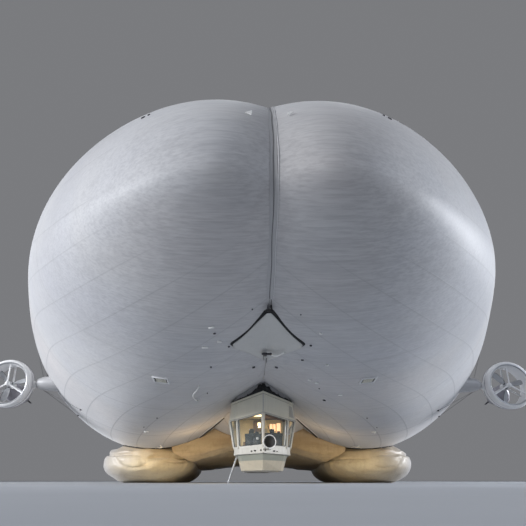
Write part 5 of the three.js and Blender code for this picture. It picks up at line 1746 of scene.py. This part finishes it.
def door_x(z, out=0.0):
    k = (z - 1.86) / (3.45 - 1.86)
    return -(1.65 + (1.97 - 1.65) * k) - out if z < 3.45 else -(1.97 - 0.14 * (z - 3.45) / 0.97) - out


quad = [Vector((door_x(2.35), 20.55, 2.35)), Vector((door_x(2.35), 21.3, 2.35)), Vector((door_x(3.3), 21.3, 3.3)), Vector((door_x(3.3), 20.55, 3.3))]
n = Vector((-0.98, 0, 0.197)).normalized() * 1.0
V, F = loft([[p + n * 0.004 for p in quad], [p + n * 0.012 for p in quad]])
new_object("door_window", *scaled((V, F)), MATS["glass_dark"] if "glass_dark" in MATS else MATS["gasket"], "flight_deck_door", "glass")
V, F = frame_strip(quad, 0.045, 0.03, 0.01, 0.12)
new_object("door_window_seal", *scaled((V, F)), MATS["gasket"], "flight_deck_door", "dark_plastic")
parts = [tube([real((door_x(2.15, 0.0), 20.5, 2.15)), real((door_x(2.15, 0.06), 20.52, 2.15)), real((door_x(2.15, 0.06), 20.75, 2.15)), real((door_x(2.15, 0.0), 20.77, 2.15))], 0.0018, 8)]
for z in (2.15, 3.6):
    parts.append(tube([real((door_x(z, 0.02), 21.40, z - 0.12)), real((door_x(z, 0.02), 21.40, z + 0.12))], 0.0024, 10))
V, F = join(parts)
new_object("door_furniture", V, F, MATS["darkmetal"], "flight_deck_door", "dark_metal")

# ------------------------------------------------------------------ propulsors
D = dict(rIn=1.385, rOut=1.77, chord=1.65, hub=0.25, strut=0.15, propR=1.3)
FRONT_UNIT = (18.95, 27.5, 6.9)
REAR_UNIT = (6.93, 91.175, 13.0)


def chaikin(pts, times, closed=True):
    for _ in range(times):
        out = []
        n = len(pts)
        for i in range(n if closed else n - 1):
            a, b = pts[i], pts[(i + 1) % n]
            out.append((a[0] * 0.75 + b[0] * 0.25, a[1] * 0.75 + b[1] * 0.25))
            out.append((a[0] * 0.25 + b[0] * 0.75, a[1] * 0.25 + b[1] * 0.75))
        pts = out
    return pts


def blade_bar(a, b, w, th, ahead, taper=0.8):
    """Streamlined strut between two points; w is the chord along Y."""
    d = (b - a).normalized()
    y = Vector((0, 1, 0))
    side = d.cross(y).normalized()
    rings = []
    for p, k in ((a, 1.0), (a.lerp(b, 0.5), (1 + taper) / 2), (b.lerp(a, 0.08), taper), (b, taper * 1.3)):
        ring = []
        for j in range(18):
            q = 2 * PI * j / 18
            ring.append(p + y * (w / 2 * k * math.cos(q)) + side * (th / 2 * k * math.sin(q) * (1 - 0.35 * math.cos(q))))
        rings.append(ring)
    return loft(rings)


def duct(name, x, t, z, direction, guard, body, s):
    half = D["chord"] / 2
    prof = [(D["rIn"] + 0.14, -half), (D["rIn"] + 0.3, -half + 0.05), (D["rOut"] - 0.01, -half + 0.2), (D["rOut"], -half + 0.45),
            (D["rOut"] - 0.07, half * 0.3), (D["rIn"] + 0.13, half), (D["rIn"] + 0.08, half), (D["rIn"], 0.1), (D["rIn"], -half + 0.4), (D["rIn"] + 0.04, -half + 0.1)]
    prof = chaikin(prof, 3)
    V, F = lathe_y(prof, 96, (x, t, z))
    ring = scaled((V, F))
    parts = [ring]
    # hub fairing behind the propeller
    hub = [(0.02, 0.16), (0.19, 0.16), (0.25, 0.2), (0.25, 0.55), (0.2, 0.62), (0.02, 0.62)]
    parts.append(scaled(loft([[Vector((x + r * math.cos(2 * PI * k / 36), t + direction * a, z + r * math.sin(2 * PI * k / 36))) for k in range(36)] for r, a in hub])))
    c = Vector((x, t, z))
    for a in (90, 210, 330):
        q = math.radians(a)
        dv = Vector((math.cos(q), 0, math.sin(q)))
        y0 = Vector((0, direction * 0.4, 0))
        parts.append(scaled(blade_bar(c + y0 + dv * 0.2, c + y0 + dv * (D["rIn"] + 0.05), 0.30, 0.13, 0)))
    if guard:
        for a in (90, 210, 330):
            q = math.radians(a)
            dv = Vector((math.cos(q), 0, math.sin(q)))
            y0 = Vector((0, -direction * 0.54, 0))
            parts.append(scaled(blade_bar(c + y0 + dv * 0.12, c + y0 + dv * (D["rIn"] + 0.04), 0.11, 0.11, 0, 1.0)))
        cap = [(0.02, -0.70), (0.1, -0.69), (0.165, -0.62), (0.17, -0.44), (0.02, -0.42)]
        parts.append(scaled(loft([[Vector((x + r * math.cos(2 * PI * k / 30), t + direction * a, z + r * math.sin(2 * PI * k / 30))) for k in range(30)] for r, a in cap])))
        # trunnion
        edge = x - s * (D["rOut"] - 0.08)
        stub = []
        for k, r in ((0.0, 0.34), (0.3, 0.26), (1.0, 0.2)):
            px = edge + (x - s * (D["rOut"] + 0.16) - edge) * k
            stub.append([Vector((px, t + 0.1 + r * math.cos(2 * PI * j / 28), z + r * math.sin(2 * PI * j / 28))) for j in range(28)])
        parts.append(scaled(loft(stub)))
    V, F = join(parts)
    o = new_object(name, V, F, MATS["duct"], body, "duct_white", angle=60)
    # joint bands and fasteners round the shroud
    bands = []
    for a, r, w in ((-half + 0.55, D["rOut"] - 0.004, 0.016), (0.34, D["rOut"] - 0.085, 0.014)):
        bands.append(scaled(lathe_y([(r - 0.02, a - w), (r + 0.008, a - w), (r + 0.008, a + w), (r - 0.02, a + w)], 96, (x, t, z))))
    for k in range(24):
        q = 2 * PI * (k + 0.5) / 24
        r = D["rOut"] - 0.012
        p = real((x + r * math.cos(q), t - half + 0.62, z + r * math.sin(q)))
        bands.append(box_part(p - Vector((0.0012, 0.0012, 0.0012)), p + Vector((0.0012, 0.0012, 0.0012)), 0.0004))
    V, F = join(bands)
    new_object(name + "_bands", V, F, MATS["engine"], body, "engine_grey")
    lip = scaled(lathe_y([(D["rIn"] + 0.06, -half + 0.075), (D["rIn"] + 0.11, -half + 0.022), (D["rIn"] + 0.16, -half + 0.004), (D["rIn"] + 0.16, -half + 0.03), (D["rIn"] + 0.1, -half + 0.09)], 96, (x, t, z)))
    new_object(name + "_lip", *lip, MATS["alu"], body, "ladder_metal")
    return o


def propeller(name, x, t, z, direction, body):
    parts = []
    spin = [(0.004, -0.33), (0.07, -0.325), (0.13, -0.30), (0.175, -0.245), (0.2, -0.17), (0.21, -0.06), (0.21, 0.05), (0.18, 0.06), (0.004, 0.06)]
    turn = Matrix.Rotation(0 if direction > 0 else PI, 4, "Z")
    c = real((x, t, z))
    parts.append(loft([[Vector((r * S * math.cos(2 * PI * k / 36), a * S, r * S * math.sin(2 * PI * k / 36))) for k in range(36)] for r, a in spin]))
    rows = [(0.16, 0.22, 58), (0.28, 0.30, 52), (0.45, 0.40, 46), (0.65, 0.45, 39), (0.85, 0.46, 32), (1.0, 0.44, 28.5), (1.15, 0.40, 25), (1.25, 0.33, 22.5), (1.29, 0.22, 21)]
    for i in range(3):
        rings = []
        for r, ch, tw in rows:
            q = math.radians(tw)
            th = 0.035 + 0.02 * (1 - r / D["propR"])
            ring = []
            for j in range(22):
                v = 2 * PI * j / 22
                u = 0.5 * math.cos(v)
                h = 0.5 * math.sin(v) * (1 - 0.55 * u) + 0.12 * (0.25 - u * u)
                a, b = u * ch, h * th
                ring.append(Vector((S * (a * math.cos(q) - b * math.sin(q)), S * (-a * math.sin(q) - b * math.cos(q) - 0.1), S * r)))
            rings.append(ring)
        m = Matrix.Rotation(math.radians(i * 120 - 45), 4, "Y")
        V, F = loft(rings)
        parts.append(([m @ v for v in V], F))
    V, F = join(parts)
    V = [turn @ v + c for v in V]
    o = new_object(name, V, F, MATS["prop"], body, "propeller_grey", angle=50)
    # bright leading edges and root collars
    parts = []
    for i in range(3):
        m = Matrix.Rotation(math.radians(i * 120 - 45), 4, "Y")
        pts = []
        for r, ch, tw in rows[1:-1]:
            q = math.radians(tw)
            pts.append(turn @ (m @ Vector((S * (0.497 * ch * math.cos(q)), S * (-0.497 * ch * math.sin(q) - 0.1), S * r))) + c)
        parts.append(tube(pts, 0.0013, 6))
        collar = []
        for r, rr in ((0.19, 0.085), (0.24, 0.09), (0.26, 0.07)):
            collar.append([turn @ (m @ Vector((S * rr * math.cos(2 * PI * k / 20), S * (rr * math.sin(2 * PI * k / 20) - 0.1), S * r))) + c for k in range(20)])
        parts.append(loft(collar))
    V, F = join(parts)
    new_object(name + "_edges", V, F, MATS["darkmetal"], body, "dark_metal")
    return o


def nacelle(name, x, t, z, body):
    rows = [(0.623, 0.24, 0.24, 0.0), (0.7, 0.36, 0.34, -0.1), (0.82, 0.5, 0.46, -0.27), (1.0, 0.62, 0.56, -0.42), (1.25, 0.735, 0.655, -0.5), (1.7, 0.735, 0.655, -0.49),
            (2.2, 0.695, 0.615, -0.46), (2.45, 0.56, 0.50, -0.38), (2.6, 0.46, 0.41, -0.32), (2.648, 0.38, 0.34, -0.3)]
    rings = []
    for dt, w, h, dz in rows:
        ring = []
        for j in range(48):
            q = 2 * PI * j / 48
            cx, cz = math.cos(q), math.sin(q)
            ring.append(Vector((x + w * math.copysign(abs(cx) ** 0.72, cx), t + dt, z + dz + h * math.copysign(abs(cz) ** 0.72, cz))))
        rings.append(ring)
    V, F = loft(rings)
    o = new_object(name, *scaled((V, F)), MATS["engine"], body, "engine_grey", angle=50)
    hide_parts(name.replace("nacelle", "engine"))
    parts = []
    for dt in (1.05, 1.5, 2.15):
        row = [(a, w, h, dz) for a, w, h, dz in rows]
        for (a0, w0, h0, z0), (a1, w1, h1, z1) in zip(row, row[1:]):
            if a0 <= dt <= a1:
                k = (dt - a0) / (a1 - a0)
                w, h, dz = w0 + (w1 - w0) * k, h0 + (h1 - h0) * k, z0 + (z1 - z0) * k
        pts = []
        for j in range(48):
            q = 2 * PI * j / 48
            cx, cz = math.cos(q), math.sin(q)
            pts.append(real((x + (w + 0.002) * math.copysign(abs(cx) ** 0.72, cx), t + dt, z + dz + (h + 0.002) * math.copysign(abs(cz) ** 0.72, cz))))
        parts.append(tube(pts, 0.0011, 6, closed=True))
    for side in (-1, 1):
        for i in range(6):
            zz = z - 0.72 + 0.08 * i
            parts.append(box_part(real((x + side * 0.725, t + 1.6, zz)), real((x + side * 0.745, t + 2.0, zz + 0.035)), 0.0005))
        parts.append(tube([real((x + side * 0.5, t + 2.2, z - 0.82)), real((x + side * 0.62, t + 2.5, z - 0.95)), real((x + side * 0.64, t + 2.75, z - 1.0))], 0.006, 14))
    V, F = join(parts)
    new_object(name + "_details", V, F, MATS["darkmetal"], body, "dark_metal")


for s, side in ((-1, "left"), (1, "right")):
    x, t, z = FRONT_UNIT
    o = duct(f"forward_shroud_{side}", s * x, t, z, 1, True, f"forward_unit_{side}", s)
    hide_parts(f"forward_duct_{side}")
    o = propeller(f"forward_airscrew_{side}", s * x, t, z, 1, f"forward_propeller_{side}")
    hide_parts(f"forward_propeller_{side}")
    nacelle(f"forward_nacelle_{side}", s * x, t, z, f"forward_unit_{side}")
    x, t, z = REAR_UNIT
    o = duct(f"rear_shroud_{side}", s * x, t, z, -1, False, "hull", s)
    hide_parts(f"rear_duct_{side}")
    o = propeller(f"rear_airscrew_{side}", s * x, t, z, -1, f"rear_propeller_{side}")
    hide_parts(f"rear_propeller_{side}")
    # rear cowling
    rows = [(87.403, 0.98), (87.5, 0.975), (87.8, 0.93), (88.2, 0.86), (88.9, 0.72), (89.65, 0.5), (90.2, 0.36), (90.552, 0.27)]
    V, F = loft([[Vector((s * x + r * math.cos(2 * PI * k / 48), tt, z + r * math.sin(2 * PI * k / 48))) for k in range(48)] for tt, r in rows])
    o = new_object(f"rear_cowling_{side}", *scaled((V, F)), MATS["duct"], "hull", "duct_white", angle=50)
    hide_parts(f"rear_engine_{side}")
    parts = []
    for tt, r in ((87.9, 0.918), (88.7, 0.757), (89.65, 0.5)):
        parts.append(tube([real((s * x + r * math.cos(2 * PI * k / 48), tt, z + r * math.sin(2 * PI * k / 48))) for k in range(48)], 0.0012, 6, closed=True))
    for k in range(8):
        q = 2 * PI * (k + 0.5) / 8
        for tt in (88.0, 88.2, 88.4):
            r = 0.94 - (tt - 87.8) * 0.18
            p = real((s * x + r * math.cos(q), tt, z + r * math.sin(q)))
            parts.append(box_part(p - Vector((0.004, 0.0022, 0.004)), p + Vector((0.004, 0.0022, 0.004)), 0.001))
    V, F = join(parts)
    new_object(f"rear_cowling_details_{side}", V, F, MATS["engine"], "hull", "engine_grey")

# forward mounts: smooth pod, tapered struts, stays to the envelope
for s, side in ((-1, "left"), (1, "right")):
    ux, ut, uz = FRONT_UNIT
    x = s * ux
    ax_t = ut + 0.1
    px = x - s * (D["rOut"] + 0.22)
    rows = [(0.0, 0.27), (0.04, 0.34), (0.12, 0.415), (0.25, 0.48), (0.45, 0.555), (0.8, 0.61), (1.2, 0.655), (1.9, 0.685), (2.6, 0.695)]
    pod = loft([[Vector((px - s * d, ax_t + 1.35 * r * math.cos(2 * PI * i / 40), uz + 0.1 + 0.85 * r * math.sin(2 * PI * i / 40))) for i in range(40)] for d, r in rows])
    V, F = scaled(pod)
    o = new_object(f"forward_pod_{side}", V, F, MATS["pod"] if "pod" in MATS else MATS["duct"], "hull", "duct_white", angle=60)
    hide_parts(f"forward_mount_{side}")

    def MP(dx, dt, dz):
        return Vector((px - s * dx, ax_t + dt, uz + dz))

    parts = []
    bars = [((0.9, 0.4, 0.2), (3.4, 1.9, 1.4), 0.115, 0.09), ((0.9, 0.4, 0.0), (3.2, 1.7, -1.3), 0.115, 0.09), ((0.9, -0.4, 0.2), (3.4, -1.6, 1.3), 0.115, 0.09),
            ((0.5, 0.5, 0.3), (0.1, 1.75, 1.3), 0.10, 0.13), ((0.1, 1.75, 1.3), (1.75, 2.4, 3.6), 0.13, 0.06), ((0.1, 1.75, 1.3), (2.2, 1.8, 1.2), 0.085, 0.07)]
    for a, b, r0, r1 in bars:
        p, q = MP(*a), MP(*b)
        parts.append(tube([real(p.lerp(q, k / 6)) for k in range(7)], r0 * S, 16, r_end=r1 * S))
    for a in ((0.1, 1.75, 1.3),):
        c = real(MP(*a))
        rings = []
        for i in range(9):
            v = PI * i / 8
            rr = 0.017 * math.sin(v) + 0.0001
            rings.append([c + Vector((rr * math.cos(2 * PI * j / 18), 0.017 * math.cos(v), rr * math.sin(2 * PI * j / 18))) for j in range(18)])
        parts.append(loft(rings))
    V, F = join(parts)
    new_object(f"forward_struts_{side}", V, F, MATS["grey"], "hull", "grey_metal")
    # stays: thin lines from the strut head and pod to the skin above and below
    parts = []
    def skin_at(tt, ang):
        return lobe_point(tt, math.radians(ang), s, 0.03)
    for a, (tt, ang) in (((0.1, 1.75, 1.3), (31.5, -2)), ((0.1, 1.75, 1.3), (27.0, -5)), ((0.3, 0.3, 0.5), (24.5, -12)), ((0.3, 0.3, -0.3), (26.5, -58)), ((0.3, 0.5, -0.3), (31.0, -55)), ((0.1, 1.75, 1.3), (34.0, -22))):
        p, q = MP(*a), skin_at(tt, ang)
        sag = [real(p.lerp(q, k / 8)) for k in range(9)]
        parts.append(tube(sag, 0.0011, 6))
        m = q
        parts.append(box_part(real(m) - Vector((0.005, 0.008, 0.005)), real(m) + Vector((0.005, 0.008, 0.005)), 0.0015))
    V, F = join(parts)
    new_object(f"forward_stays_{side}", V, F, MATS["darkmetal"], "hull", "dark_metal")

# ------------------------------------------------------------------ stage and lights
def stage():
    mf = Mat("stage_floor", (0.60, 0.62, 0.65), 0.8)
    mf.b.inputs["Specular IOR Level"].default_value = 0.12
    n = mf.noise(0.8, 4, 0.6)
    mf.colour(mf.mix(mf.range(n, 0.3, 0.7), (0.56, 0.58, 0.61), (0.51, 0.53, 0.56)))
    mf.roughness(mf.range(mf.noise(3, 4, 0.6), 0.3, 0.7, 0.72, 0.85))
    me = bpy.data.meshes.new("stage_floor")
    w = 60
    me.from_pydata([(-w, -w, -0.0005), (w, -w, -0.0005), (w, w, -0.0005), (-w, w, -0.0005)], [], [(0, 1, 2, 3)])
    o = bpy.data.objects.new("stage_floor", me)
    me.materials.append(mf.m)
    bpy.context.scene.collection.objects.link(o)


stage()


def area(name, loc, target, size, power, colour=(1, 1, 1), size_y=None, spread=180):
    li = bpy.data.lights.new(name, "AREA")
    li.shape = "RECTANGLE"
    li.size = size
    li.size_y = size_y or size
    li.energy = power
    li.color = colour
    li.spread = math.radians(spread)
    o = bpy.data.objects.new(name, li)
    o.location = loc
    d = Vector(target) - Vector(loc)
    o.rotation_euler = d.to_track_quat("-Z", "Y").to_euler()
    bpy.context.scene.collection.objects.link(o)
    return o


area("key_left", (-13.5, -6.4, 3.0), (-1.6, 0.4, 1.4), 8.0, 650, (0.94, 0.96, 1.0), 3.0, 80)
area("key_right", (14.5, 0.9, 3.0), (1.8, 0.9, 1.4), 8.0, 530, (0.92, 0.95, 1.0), 3.0, 80)
area("high_right", (9.5, -8.0, 6.5), (1.6, 0.6, 1.8), 4.0, 260, (0.74, 0.83, 1.0), 4.0)
area("top_soft", (0, 3.0, 9), (0, 1.5, 0), 9, 35, (0.74, 0.82, 1.0), 9)
area("rim_back", (0, 13, 7), (0, 3, 1.2), 7, 60, (0.88, 0.92, 1.0), 5)
area("under_left", (-1.05, -3.3, 0.12), (-0.60, -0.9, 0.17), 1.0, 0.60, (1.0, 0.78, 0.46), 0.12, 16)
area("under_right", (1.15, -3.3, 0.12), (0.70, -0.9, 0.17), 1.0, 0.46, (1.0, 0.80, 0.50), 0.12, 16)
area("under_middle", (0, -3.9, 0.16), (0, -1.2, 0.34), 1.2, 0.25, (1.0, 0.86, 0.64), 0.12, 22)
area("belly_left", (-0.42, -1.75, 0.03), (-0.36, -1.5, 0.6), 0.25, 1.1, (1.0, 0.64, 0.26), 0.4)
area("belly_right", (0.42, -1.75, 0.03), (0.36, -1.5, 0.6), 0.25, 0.8, (1.0, 0.68, 0.32), 0.4)
area("cabin_warm", (-0.04, -2.44, 0.40), (-0.04, -2.44, 0.1), 0.10, 1.1, (1.0, 0.76, 0.38), 0.10)

world = bpy.data.worlds.new("world")
bpy.context.scene.world = world
world.use_nodes = True
world.node_tree.nodes["Background"].inputs["Color"].default_value = (0.56, 0.57, 0.60, 1)
world.node_tree.nodes["Background"].inputs["Strength"].default_value = 0.35

bpy.context.scene.view_settings.view_transform = "Standard"
